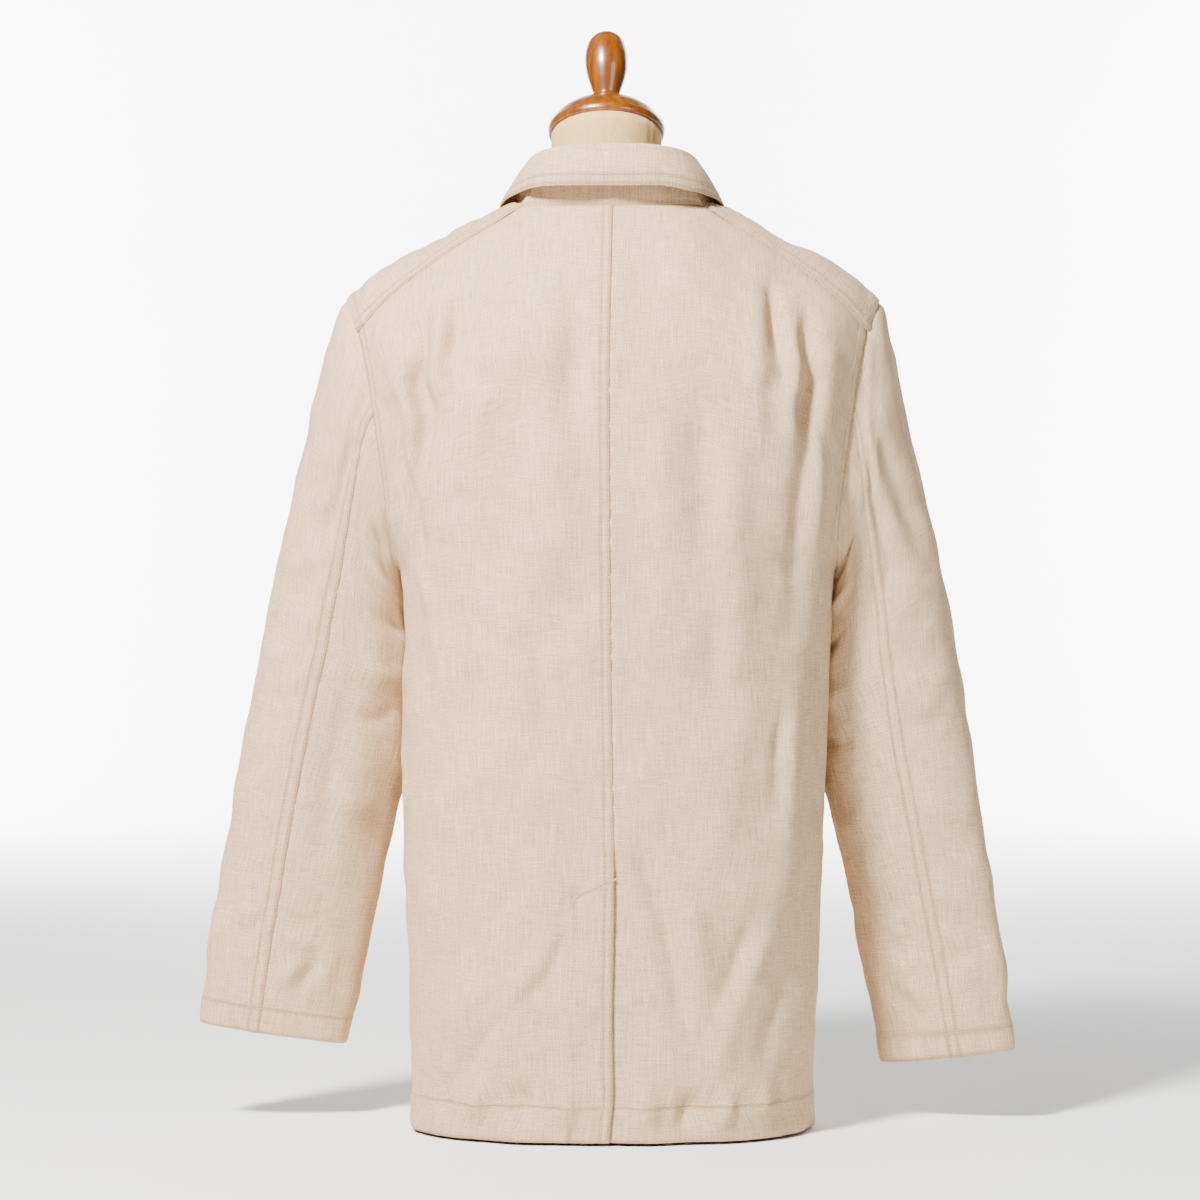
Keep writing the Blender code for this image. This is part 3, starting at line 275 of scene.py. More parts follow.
FORM_CLEAR_DOWN = 0.0023
FORM_TILT_START_Z = 0.8180

PROFILE_COLUMNS = "radius height"
CAP_PROFILE = table(
    PROFILE_COLUMNS,
    (0.0000, 1.000),
    (0.0125, 0.985),
    (0.0215, 0.925),
    (0.0300, 0.830),
    (0.0380, 0.690),
    (0.0445, 0.520),
    (0.0490, 0.330),
)
FINIAL_PROFILE = table(
    PROFILE_COLUMNS,
    (0.0000, 1.000),
    (0.0060, 0.985),
    (0.0115, 0.940),
    (0.0160, 0.850),
    (0.0186, 0.720),
    (0.0192, 0.600),
    (0.0184, 0.460),
    (0.0160, 0.310),
    (0.0130, 0.170),
    (0.0114, 0.090),
    (0.0116, 0.060),
)

# ------------------------------------------------------------ reading a table


def read(table, column, at):
    """A column's value at a place along the table's first column, smoothly joined."""
    keys = [row[0] for row in table]
    values = [getattr(row, column) for row in table]
    last = len(keys) - 1
    if at <= keys[0]:
        return values[0]
    if at >= keys[last]:
        return values[last]
    low = max(i for i in range(last) if keys[i] <= at)

    def slope(i):
        before = max(i - 1, 0)
        after = min(i + 1, last)
        return (values[after] - values[before]) / (keys[after] - keys[before])

    width = keys[low + 1] - keys[low]
    t = (at - keys[low]) / width
    start = (1 + 2 * t) * (1 - t) ** 2 * values[low]
    end = t * t * (3 - 2 * t) * values[low + 1]
    start_slope = t * (1 - t) ** 2 * width * slope(low)
    end_slope = t * t * (t - 1) * width * slope(low + 1)
    return start + end + start_slope + end_slope


def ease(value):
    """0 to 1, flat at both ends."""
    t = min(max(value, 0.0), 1.0)
    return t * t * (3 - 2 * t)


def blend(start, end, share):
    """A value at a share of the way from a start to an end."""
    return start + (end - start) * share


# ------------------------------------------------------- the jacket's surface


def half_width(side, z):
    """Half the jacket's width on one side at a height."""
    return read(BODY, "half_left" if side > 0 else "half_right", z)


def arch(face, x):
    """How far below the shoulder line the body starts to curve in to it."""
    near, far = ARCH_BACK if face > 0 else ARCH_FRONT
    return blend(near, far, ease(abs(x) / SHOULDER_HALF))


def ridge(x):
    """The height of the shoulder line at a lateral place."""
    return read(RIDGE, "z", abs(x))


def level_at(face, x, z):
    """The level, 0 to 2, of a height on one face at a lateral place."""
    top = ridge(x)
    rise = arch(face, x)
    if z <= top - rise:
        return (z - HEM_Z) / (top - rise - HEM_Z)
    bend = acos(1.0 - min(max((top - z) / rise, 0.0), 1.0))
    return 2.0 - bend / (pi / 2)


def height_at(face, x, level):
    """The height of a level on one face at a lateral place."""
    top = ridge(x)
    rise = arch(face, x)
    if level <= 1.0:
        return HEM_Z + level * (top - rise - HEM_Z)
    return top - rise * (1.0 - cos((2.0 - level) * pi / 2))


def angle_at(side, x, z):
    """The angle, 0 in the middle to a right angle at the side, of a lateral place."""
    share = min(abs(x) / half_width(side, z), 1.0)
    angle = asin(share ** (SQUARENESS / 2))
    return angle if x >= 0 else -angle


def lateral_at(side, angle, z):
    """The lateral place of an angle at a height."""
    reach = half_width(side, z) * abs(sin(angle)) ** (2 / SQUARENESS)
    return reach if angle >= 0 else -reach


def depth_at(side, face, x, z, level):
    """How far the surface stands from the shoulder line, before its folds."""
    reach = read(BODY, "back" if face > 0 else "front", z)
    share = min(abs(x) / half_width(side, z), 1.0)
    depth = reach * (1.0 - share ** SQUARENESS) ** (1 / SQUARENESS)
    if level > 1.0:
        depth *= sin((2.0 - level) * pi / 2)
    return depth


def fold_swell(side, face, x, z):
    """How far the soft folds of the solid model push its surface out."""
    swell = 0.0
    for fold in FOLDS:
        if fold.side != side or fold.face != face:
            continue
        along = (z - fold.low_z) / (fold.high_z - fold.low_z)
        if along <= 0.0 or along >= 1.0:
            continue
        middle = blend(fold.low_x, fold.high_x, along)
        across = (x - middle) / fold.width
        swell += fold.swell * sin(pi * along) ** 2 * exp(-across * across)
    return swell


def body_point(side, face, angle, level, sink=0.0):
    """A point of the jacket's surface, sunk below it by a given depth."""
    if level > 2.0:
        face = -face
        level = 4.0 - level
    z = 0.5
    x = 0.0
    rounds = 5
    # each of the two depends on the other, so they are found in turn
    for _ in range(rounds):
        x = lateral_at(side, angle, z)
        z = height_at(face, x, level)
    depth = depth_at(side, face, x, z, level)
    share = min(abs(x) / half_width(side, z), 1.0)
    reach = read(BODY, "back" if face > 0 else "front", z)
    out_x = share ** (SQUARENESS - 1) / half_width(side, z)
    out_y = (depth / reach) ** (SQUARENESS - 1) / reach
    length = hypot(out_x, out_y)
    push = fold_swell(side, face, x, z) - sink
    x += push * out_x / length * (1 if x >= 0 else -1)
    depth += push * out_y / length
    return Vector((CENTRE_X + side * x, face * depth, z))


def body_at(side, face, x, z, sink=0.0):
    """A point of the jacket's surface at a lateral place and a height."""
    return body_point(side, face, angle_at(side, x, z), level_at(face, x, z), sink)


# ----------------------------------------------------------- edges of panels


def armhole_share(step):
    """How high up the armhole a step lies: 0 at the underarm, 1 at the shoulder tip."""
    whole = min(int(step), ARMHOLE_STEPS - 1)
    return blend(ARMHOLE_SHARES[whole], ARMHOLE_SHARES[whole + 1], step - whole)


def armhole_place(side, face, step):
    """The angle and level of a whole step of the armhole's edge."""
    z = blend(UNDERARM_Z, TIP_Z, armhole_share(step))
    underarm_x = half_width(side, UNDERARM_Z)
    if step == 0:
        return pi / 2, level_at(face, underarm_x, UNDERARM_Z)
    if step == ARMHOLE_STEPS:
        return angle_at(side, SHOULDER_HALF, TIP_Z), 2.0
    column = "back" if face > 0 else "front"
    if z < ARMHOLE[0].z:
        up = (z - UNDERARM_Z) / (ARMHOLE[0].z - UNDERARM_Z)
        x = blend(underarm_x, getattr(ARMHOLE[0], column), ease(up))
    else:
        x = read(ARMHOLE, column, z)
    return angle_at(side, x, z), level_at(face, x, z)


def back_neckline_z(x):
    """The height of the back's neckline at a lateral place."""
    end_x, end_z = NECK_SEAM_END
    return NECK_BACK_Z + (end_z - NECK_BACK_Z) * (x / end_x) ** 2


def seam_drop_levels(side):
    """The level of the shoulder seam at its neck end and at its armhole end."""
    end_x, end_z = NECK_SEAM_END
    return level_at(1, end_x, end_z), armhole_place(side, 1, SHOULDER_SEAM_STEP)[1]


def shoulder_seam_level(side, x):
    """The level of the shoulder seam, a little bowed, at a lateral place."""
    near, far = seam_drop_levels(side)
    span = read(ARMHOLE, "back", blend(UNDERARM_Z, TIP_Z, armhole_share(SHOULDER_SEAM_STEP)))
    share = (x - NECK_SEAM_END[0]) / (span - NECK_SEAM_END[0])
    bow = SEAM_BOW * sin(pi * min(max(share, 0.0), 1.0))
    return blend(near, far, share) + bow


def back_top_level(side, x):
    """The level of a back's upper edge: its neckline, then its shoulder seam."""
    if x <= NECK_SEAM_END[0]:
        return level_at(1, x, back_neckline_z(x))
    return shoulder_seam_level(side, x)


def lap_sink(side, face, x, z):
    """The depth of an edge that lies under its neighbour: the vent and the button stand."""
    if side > 0:
        return 0.0
    if face > 0:
        near = ease((BACK_LAP_END - x) / BACK_LAP_FADE)
        low = ease((VENT_TOP_Z + VENT_LAP_FADE - z) / VENT_LAP_FADE)
        return LAP_DROP * near * low
    deeper = blend(1.0, NECK_LAP_DEEPER, ease((z - BUTTON_TOP_Z) / NECK_LAP_FADE))
    return LAP_DROP * deeper * ease((FRONT_LAP_END - x) / FRONT_LAP_FADE)


def between_steps(edge, step):
    """An edge's angle and level at a step, blended from those of the whole steps beside it."""
    low = int(step)
    here = edge(low)
    if step == low:
        return here
    above = edge(low + 1)
    return blend(here[0], above[0], step - low), blend(here[1], above[1], step - low)


def front_inner(side, step):
    """A front's free edge above the underarm: the lap, the neckline and the shoulder."""
    if step <= NECK_CORNER_STEP:
        z = blend(UNDERARM_Z, NECK_FRONT_Z, step / NECK_CORNER_STEP)
        return angle_at(side, -FRONT_LAP, z), level_at(-1, 0.0, z)
    if step <= ARMHOLE_STEPS:
        neck = FRONT_NECKLINE[step - NECK_CORNER_STEP]
        return angle_at(side, neck.x, neck.z), level_at(-1, neck.x, neck.z)
    end_x, end_z = NECK_SEAM_END
    share = (step - ARMHOLE_STEPS) / (ARMHOLE_STEPS - SHOULDER_SEAM_STEP)
    x = blend(NECK_RIDGE_X, end_x, share)
    return angle_at(side, x, end_z), blend(2.0, 4.0 - level_at(1, end_x, end_z), share)


# ------------------------------------------------------------------ sleeves


def armhole_outward(side):
    """The way out of the armhole, where the sleeve begins."""
    return Vector((side * cos(ARMHOLE_LEAN), 0.0, sin(ARMHOLE_LEAN)))


def ring_angle(row, face, step):
    """The angle round a section: 0 at the outer edge, then the back, the inner edge, the front."""
    if face > 0:
        seam = row.back_seam
        if step >= BACK_SEAM_STEP:
            return seam * (ARMHOLE_STEPS - step) / (ARMHOLE_STEPS - BACK_SEAM_STEP)
        return blend(180.0, seam, step / BACK_SEAM_STEP)
    seam = row.front_seam
    if step >= FRONT_SEAM_STEP:
        return blend(seam, 360.0, (step - FRONT_SEAM_STEP) / (ARMHOLE_STEPS - FRONT_SEAM_STEP))
    return blend(180.0, seam, step / FRONT_SEAM_STEP)


def rounded(value):
    """A sine or cosine, squared off for a sleeve's section."""
    size = abs(value) ** (2 / SLEEVE_SQUARENESS)
    return size if value >= 0 else -size


def clear_of_body(side, point):
    """Moves a point of a sleeve out to just clear of the jacket's side."""
    if point.z > UNDERARM_Z:
        return point
    margin = blend(UNDERARM_GAP, BODY_MARGIN, ease((UNDERARM_Z - point.z) / 0.05))
    x = side * (point.x - CENTRE_X)
    wide = half_width(side, point.z) + margin
    deep = read(BODY, "back" if point.y > 0 else "front", point.z) + margin
    inside = (abs(x) / wide) ** SQUARENESS + (abs(point.y) / deep) ** SQUARENESS
    if inside >= 1.0:
        return point
    grow = inside ** (-1 / SQUARENESS)
    return Vector((CENTRE_X + side * x * grow, point.y * grow, point.z))


def sleeve_station(side, number, face, step):
    """A point of one of the sleeve's given sections."""
    if number == 0:
        return sleeve_head(side, face, step)
    row = (SLEEVE_LEFT if side > 0 else SLEEVE_RIGHT)[number - 1]
    inner = Vector((row.inner_x, 0.0, row.inner_z))
    outer = Vector((row.outer_x, 0.0, row.outer_z))
    wide = (outer - inner) / 2
    turn = radians(row.turn)
    back = Vector((0.0, 1.0, 0.0))
    half = wide.length / cos(turn)
    first = wide.normalized() * cos(turn) + back * sin(turn)
    second = back * cos(turn) - wide.normalized() * sin(turn)
    round_angle = radians(ring_angle(row, face, step))
    middle = (inner + outer) / 2 + back * row.centre_y
    point = middle + first * half * rounded(cos(round_angle))
    point += second * row.half_depth * rounded(sin(round_angle))
    point.x = CENTRE_X + side * point.x
    return clear_of_body(side, point)


def sleeve_point(side, ring, face, step):
    """A point of the sleeve, smoothly joined between its given sections."""
    last = SLEEVE_SECTIONS
    low = min(int(ring), last - 1)
    t = ring - low
    here = sleeve_station(side, low, face, step)
    there = sleeve_station(side, low + 1, face, step)
    if low == 0:
        start = armhole_outward(side) * (there - here).length * 0.9
    else:
        start = (there - sleeve_station(side, low - 1, face, step)) / 2
    if low + 2 <= last:
        end = (sleeve_station(side, low + 2, face, step) - here) / 2
    else:
        end = there - here
    point = (1 + 2 * t) * (1 - t) ** 2 * here + t * t * (3 - 2 * t) * there
    point += t * (1 - t) ** 2 * start + t * t * (t - 1) * end
    return clear_of_body(side, point)


# ------------------------------------------------------------------- collar


def along_points(points, share):
    """A point at a share of the whole length of a chain of points."""
    lengths = [(b - a).length for a, b in zip(points, points[1:])]
    left = share * sum(lengths)
    for (start, end), length in zip(zip(points, points[1:]), lengths):
        if left <= length:
            return start.lerp(end, left / length)
        left -= length
    return points[-1]


def collar_point(side, along, kind):
    """The collar's fold, or the free edge of its fall, at a share of its half length."""
    x, y, z = (read(COLLAR, kind + axis, along) for axis in ("_x", "_y", "_z"))
    return Vector((CENTRE_X + side * x, y, z))


def collar_section(column, necklines):
    """The neck seam, fold, free edge and outward direction of the collar at a column."""
    share = (column / COLLAR_STEPS_EACH_SIDE - 1.0) * COLLAR_END
    side = -1 if share < 0 else 1
    along = abs(share)
    seam = along_points(necklines[side], along)
    fold = collar_point(side, along, "fold")
    edge = collar_point(side, along, "edge")
    step = 0.02
    run = collar_point(side, min(along + step, 1.0), "fold")
    run -= collar_point(side, max(along - step, 0.0), "fold")
    away = Vector((-run.y * side, run.x * side, 0.0)) if along > step else Vector((0.0, 1.0, 0.0))
    return seam, fold, edge, away.normalized()


def stand_top(seam, fold):
    """Where the stand ends and the fall begins, on the way up to the fold."""
    return fold - (fold - seam).normalized() * FOLD_RISE


# --------------------------------------------------------------- dress form


def section_radius(heading, z):
    """The distance from the jacket's axis to its surface at a height, in one direction."""
    side = 1 if sin(heading) >= 0 else -1
    face = 1 if cos(heading) >= 0 else -1

    def beyond(radius):
        x = abs(radius * sin(heading))
        y = abs(radius * cos(heading))
        if x >= half_width(side, z) or ridge(x) <= z:
            return True
        level = level_at(face, x, z)
        return y >= depth_at(side, face, x, z, level)

    low, high = 0.0, 0.30
    halvings = 26
    for _ in range(halvings):
        middle = (low + high) / 2
        if beyond(middle):
            high = middle
        else:
            low = middle
    return low


def form_radius(heading, z):
    """How far the form's surface is from its axis, in one direction at a height."""
    reach = section_radius(heading, z + FORM_CLEAR_DOWN) * read(FORM, "scale", z) - FORM_CLEAR_OUT
    reach -= FORM_CLEAR_LAP * max(-cos(heading), 0.0) ** 4
    limit = read(FORM, "side_limit", z) / max(abs(sin(heading)), 0.001)
    reach = min(reach, limit)
    if z < NECK_BLEND_Z:
        return reach
    return max(reach, FORM_NECK_RADIUS)


def neck_frame():
    """The tilted frame that the wooden cap and finial stand in."""
    place = Matrix.Translation(Vector((0.0, 0.0, FORM_NECK_Z)))
    return place @ Matrix.Rotation(FORM_NECK_TILT, 4, "X")


# ---------------------------------------------------------- sizes of the finish

CLOTH = 0.0013              # the shown cloth, folded double at its edges
BACK_SPLIT = 0.60           # share of a back's length that lies below the underarm
FRONT_SPLIT = 0.54
FRONT_RIDGE = 0.80          # share of a front's upper part that lies before the ridge
SLEEVE_TUCK = 0.0035        # how far a sleeve's head goes in under the body's edge
UNDERARM_SHIFT = 0.0065     # how far a sleeve's underside is pressed to the body
FELL = 0.0095               # width of a felled seam
HEM_TURN = 0.0310           # height of the body's turned hem
CUFF_TURN = 0.0240
STITCH_SHARE = 0.79         # share of a stitch's pitch that its thread shows
CAMERA_DISTANCE = 3.2
CAMERA_HEIGHT = 0.462
CAMERA_LENS = 109.09
CAMERA_X = 0.00572
WORLD_LIGHT = 0.07
FLOOR_HALF = 9.0            # half the floor's width
TINY = 1e-12
MM = 0.001

SEWN_REACH = 0.022          # over which creases fade out towards a sewn edge
SLEEVE_SEWN_REACH = 0.016
ARMHOLE_START = 0.485       # how far up a sheet its armhole starts
ARMHOLE_FADE = 0.02
CLOTH_STEP = 0.0014         # over which the surface steps down from a folded edge
EDGE_ROLL = 0.0003          # how much lower than flat a folded edge rolls
EDGE_REACH = 0.0013
PUCKER_LENGTH = 0.011
PUCKER_SIZE = 0.00026
RIPPLE_SPREAD = 2.6         # about the spread of the sum of seven waves

GROOVE = 0.0005             # depth of a row of stitches
FINE_GROOVE = 0.0004
ROW_WIDTH = 0.0014
ROW_IN = 0.0016             # from an edge to the first row beside it
TURN_ROW_IN = 0.0014        # from a turned edge's inner fold to its row
TACK_PITCH = 0.00055
TACK_THICKER = 1.1          # a bar tack's thread beside the thread of a row

CENTRE_LAP = 0.0009         # how far a back goes on over the centre line
SEAM_BOW = 0.045            # how far the shoulder seam bows, in levels
SHOULDER_LIFT = 0.010       # how far a front goes on over its shoulder seam, in levels
VENT_ROW = 0.0345
VENT_SLANT_HIGH_Z = VENT_TOP_Z + 0.002
VENT_SLANT_LOW_Z = VENT_TOP_Z - 0.012
VENT_TACK_HALF = 0.004
FACING = 0.030
BUTTONHOLE_START = 0.013
BUTTONHOLE_END = 0.034
BUTTONHOLE_HALF = 0.0012    # half the distance between its two rows
POCKET_ACROSS = (0.182, 0.71)
POCKET_HEIGHTS = (0.0578, 0.2519)
POCKET_TALL = 0.194
POCKET_WIDTH = 0.150
POCKET_CORNER = 0.022       # radius of its lower corners
POCKET_ROWS = (0.0016, 0.0075)
POCKET_HEM = 0.024
SLEEVE_HEAD_SINK = 0.0012
COLLAR_SECTIONS = 72
FALL_TURN = 0.20            # share of the fall that turns over the fold
FALL_BELLY = 0.0035
FALL_DROP = 0.0035
LEAF_START = 0.022          # how far up the fall its leaf starts
LEAF_ROW = 0.0095
WOOD_LIFT = 0.0004          # keeps the wooden parts just clear of what they stand on
COVER_SEAMS = (0.0, 0.14, 0.36, 0.5, 0.64, 0.86, 1.0)
COVER_SUNK = 0.004          # how far the cover lies below its solid, under the collar
COVER_SUNK_Z = 0.80
BUTTON_HOLE = 0.0009
BUTTON_HOLE_OUT = 0.0021    # from a button's middle to the middle of a hole
BUTTON_STITCH = 0.0036      # how long and how thick a button's threads are
BUTTON_THREAD = 0.00032

# (radius, height) pairs in metres: below the cap's dome, below the finial, a whole button
CAP_LIP = (
    (0.0496, 0.0098), (0.0500, 0.0092), (0.0511, 0.0085), (0.0516, 0.0070), (0.0517, 0.0050),
    (0.0514, 0.0030), (0.0507, 0.0014), (0.0495, 0.0006), (0.0478, 0.0003), (0.0450, 0.0003),
    (0.0, 0.0003))
FINIAL_COLLAR = (
    (0.0128, 0.0034), (0.0136, 0.0028), (0.0138, 0.0016), (0.0134, 0.0004), (0.0125, 0.0),
    (0.0, 0.0))
BUTTON_PROFILE = (
    (0.0, 0.0021), (0.0030, 0.0021), (0.0058, 0.0022), (0.0068, 0.0026), (0.0076, 0.0033),
    (0.0085, 0.0034), (0.0094, 0.0031), (0.0099, 0.0024), (0.0100, 0.0017), (0.0096, 0.0009),
    (0.0085, 0.0003), (0.0060, 0.0), (0.0, 0.0))

# a sheet's grid: its width and length, how far apart its columns and rows are, the places
# (place, reach) where they are closer, and the coarse grid that they are read from
Grid = namedtuple("Grid", "width across_step across_marks length up_step up_marks coarse")
BACK_GRID = Grid(
    0.215, 0.0034, ((0.005, 0.008), (0.0290, 0.005), (0.208, 0.008)),
    0.815, 0.0034, ((0.030, 0.005), (0.212, 0.012), (0.808, 0.010)), (22, 72))
FRONT_GRID = Grid(
    0.235, 0.0036, ((0.004, 0.006), (0.228, 0.008)),
    0.870, 0.0036, ((0.030, 0.005), (0.863, 0.010)), (22, 84))
TOP_SLEEVE_GRID = Grid(
    0.205, 0.0036, ((0.006, 0.008), (0.202, 0.005)), 0.600, 0.0034, ((0.0228, 0.005),), (24, 64))
UNDER_SLEEVE_GRID = Grid(0.150, 0.0036, (), 0.600, 0.0034, ((0.0228, 0.005),), (24, 64))
FALL_GRID = Grid(
    0.500, 0.0030, ((0.004, 0.008), (0.496, 0.008)), 0.065, 0.0012, (),
    (COLLAR_SECTIONS + 1, 31))

# where the sleeves' back seams run, by the share of the sleeve's length above the cuff
SEAM_HEIGHTS = (0.0, 0.11, 0.17, 0.22, 0.28, 0.33, 0.39, 0.5, 0.56, 0.61, 0.67, 0.72, 0.78, 0.84,
                0.89, 0.94, 1.0)
SEAM_STEPS_LEFT = (6.1, 6.1, 6.12, 6.2, 6.3, 6.4, 6.5, 6.6, 6.5, 6.3, 6.05, 5.8, 5.52, 5.3,
                   5.28, 5.60, 6.0)
SEAM_STEPS_RIGHT = (6.1, 6.15, 6.2, 6.3, 6.38, 6.44, 6.5, 6.5, 6.4, 6.22, 6.0, 5.7, 5.3, 4.98,
                    4.95, 5.3, 6.0)

# a crease on a cloth sheet, in millimetres: its two ends as (across from the sheet's
# first edge, up from its lower edge), half its width, its height (a trough is below
# zero) and how far it bows sideways
CREASE_COLUMNS = "s0 t0 s1 t1 width height bow"

BACK_LEFT_CREASES = table(
    CREASE_COLUMNS,
    (182, 740, 176, 540, 9, -5.7, 5),
    (200, 690, 190, 560, 8, 4.6, 6),
    (206, 620, 178, 470, 8, -4.6, 8),
    (163, 740, 152, 600, 11, 4.1, 4),
    (146, 745, 144, 640, 8, -4.3, 3),
    (128, 720, 118, 520, 15, 2.7, 6),
    (34, 730, 32, 560, 12, -3.0, 2),
    (60, 700, 66, 430, 18, 2.2, 6),
    (192, 500, 150, 380, 11, 3.5, 9),
    (168, 460, 128, 340, 13, -3.0, 9),
    (66, 440, 64, 320, 10, -2.4, 3),
    (100, 500, 106, 210, 22, 2.6, 8),
    (142, 330, 158, 90, 16, -2.7, 8),
    (20, 215, 118, 40, 11, 4.8, -10),
    (46, 150, 146, 34, 9, -4.0, -7),
    (12, 240, 60, 130, 9, -2.7, -6),
    (90, 150, 170, 60, 13, 3.8, -8),
    (115, 12, 112, 62, 10, 5.2, 2),
    (70, 4, 76, 58, 9, -4.8, 2),
    (32, 6, 36, 54, 8, 3.6, 2),
    (150, 10, 152, 60, 12, -4.5, 3),
)
BACK_RIGHT_CREASES = table(
    CREASE_COLUMNS,
    (153, 750, 157, 640, 8, -5.3, 3),
    (138, 752, 136, 560, 12, 3.4, 5),
    (172, 730, 170, 560, 9, 4.4, 3),
    (190, 725, 186, 590, 8, -4.6, 3),
    (206, 640, 190, 470, 9, 3.0, 6),
    (178, 600, 172, 430, 9, -3.0, 6),
    (84, 660, 90, 470, 15, -3.7, 5),
    (114, 640, 116, 380, 16, 2.8, 6),
    (50, 660, 54, 400, 16, 2.1, 5),
    (92, 470, 98, 330, 12, -2.3, 4),
    (156, 375, 152, 270, 8, -3.4, 3),
    (172, 400, 162, 200, 12, 2.5, 6),
    (12, 270, 64, 60, 11, -6.0, -14),
    (34, 262, 84, 96, 12, 3.4, -12),
    (150, 190, 82, 24, 12, 4.0, 10),
    (128, 200, 104, 90, 10, -2.5, 6),
    (176, 160, 130, 34, 11, -2.9, 8),
    (95, 6, 98, 52, 8, 3.8, 2),
    (30, 4, 26, 60, 9, 4.2, 2),
    (60, 6, 64, 48, 8, -4.2, 2),
    (136, 8, 132, 60, 11, 3.8, 2),
)
FRONT_CREASES = table(
    CREASE_COLUMNS,
    (190, 640, 168, 500, 9, 3.6, 5),
    (176, 660, 150, 520, 9, -3.6, 5),
    (150, 680, 136, 460, 13, 3.0, 7),
    (120, 640, 126, 330, 16, -2.4, 9),
    (84, 560, 92, 300, 16, 2.2, 8),
    (200, 500, 150, 400, 10, 2.8, 8),
    (178, 440, 130, 340, 10, -2.4, 8),
    (176, 300, 188, 60, 12, 2.6, 7),
    (44, 260, 40, 60, 12, -1.8, 6),
    (190, 8, 186, 60, 11, -2.4, 3),
    (120, 6, 116, 52, 10, 2.2, 3),
    (70, 6, 74, 50, 10, -1.8, 2),
)
TOP_SLEEVE_CREASES = table(
    CREASE_COLUMNS,
    (36, 590, 44, 430, 9, 2.6, 6),
    (58, 590, 64, 420, 10, -2.4, 6),
    (20, 540, 28, 420, 8, -2.2, 5),
    (84, 560, 88, 380, 12, 1.4, 6),
    (24, 510, 76, 484, 8, -1.6, 7),
    (16, 436, 70, 412, 8, 1.7, 6),
    (20, 404, 64, 388, 7, -1.6, 5),
    (18, 350, 74, 338, 9, 1.4, 6),
    (14, 300, 60, 312, 8, -1.2, 5),
    (20, 236, 74, 214, 10, 1.3, 6),
    (26, 170, 70, 154, 9, -1.0, 5),
    (10, 118, 44, 102, 5, 2.0, 4),
    (8, 98, 38, 88, 4, -1.9, 3),
    (6, 80, 34, 62, 5, 1.7, 3),
    (56, 110, 70, 40, 8, 1.4, 4),
    (44, 90, 54, 30, 7, -1.2, 3),
    (120, 500, 150, 470, 9, -1.8, 7),
    (124, 440, 156, 420, 9, 1.8, 7),
)
UNDER_SLEEVE_CREASES = table(
    CREASE_COLUMNS,
    (30, 480, 100, 452, 9, -3.0, 8),
    (24, 440, 104, 408, 9, 3.0, 8),
    (30, 396, 96, 376, 8, -2.6, 7),
    (24, 346, 92, 334, 9, 2.4, 7),
    (26, 296, 86, 302, 8, -2.0, 5),
    (24, 230, 84, 212, 10, 2.0, 5),
    (10, 96, 40, 84, 5, 2.8, 4),
    (12, 112, 44, 106, 4, -2.2, 3),
    (32, 78, 15, 40, 5, 3.2, 4),
    (46, 74, 30, 34, 5, -2.4, 4),
    (60, 90, 52, 34, 8, 2.0, 3),
    (52, 430, 56, 140, 15, 2.2, 7),
    (30, 330, 34, 130, 8, -1.8, 5),
)


# --------------------------------------------------- places on the cut pieces


def step_at(share):
    """The armhole step, in parts of a step, at a share of the armhole's height."""
    for low in range(ARMHOLE_STEPS):
        if share <= ARMHOLE_SHARES[low + 1]:
            span = ARMHOLE_SHARES[low + 1] - ARMHOLE_SHARES[low]
            return low + (share - ARMHOLE_SHARES[low]) / span
    return ARMHOLE_STEPS


def back_spot(side, u, v):
    """A place on a back: u from the centre seam to the side, v from the hem up."""
    if v <= BACK_SPLIT:
        z = blend(HEM_Z, UNDERARM_Z, v / BACK_SPLIT)
        rise = 0.0
        inner_z = z
        outer = (pi / 2, level_at(1, half_width(side, z), z))
    else:
        rise = min((v - BACK_SPLIT) / (1.0 - BACK_SPLIT), 1.0)
        step = step_at(rise * ARMHOLE_SHARES[SHOULDER_SEAM_STEP])
        inner_z = blend(UNDERARM_Z, NECK_BACK_Z, rise)
        outer = armhole_place(side, 1, step)
    inner_x = side * read(CENTRE_SEAM, "x", inner_z) - CENTRE_LAP
    inner = (angle_at(side, inner_x, inner_z), level_at(1, inner_x, inner_z))
    angle = blend(inner[0], outer[0], u)
    level = blend(inner[1], outer[1], u)
    top_outer = armhole_place(side, 1, SHOULDER_SEAM_STEP)
    top_x = lateral_at(side, blend(0.0, top_outer[0], u), SHOULDER_MID_Z)
    straight = blend(level_at(1, 0.0, NECK_BACK_Z), top_outer[1], u)
    level += (back_top_level(side, top_x) - straight) * rise ** 2
    bare = body_point(side, 1, angle, level)
    x = side * (bare.x - CENTRE_X)
    return body_point(side, 1, angle, level, lap_sink(side, 1, x, bare.z))


def underlap_spot(u, v):
    """A place on the vent's underlap, which goes on from the right back below the left."""
    z = blend(HEM_Z, VENT_TOP_Z - VENT_SLANT * (1.0 - u), v)
    seam_x = -read(CENTRE_SEAM, "x", z)
    x = blend(seam_x - VENT_UNDERLAP, seam_x + 0.003, u)
    return body_at(1, 1, -x, z, LAP_DROP)


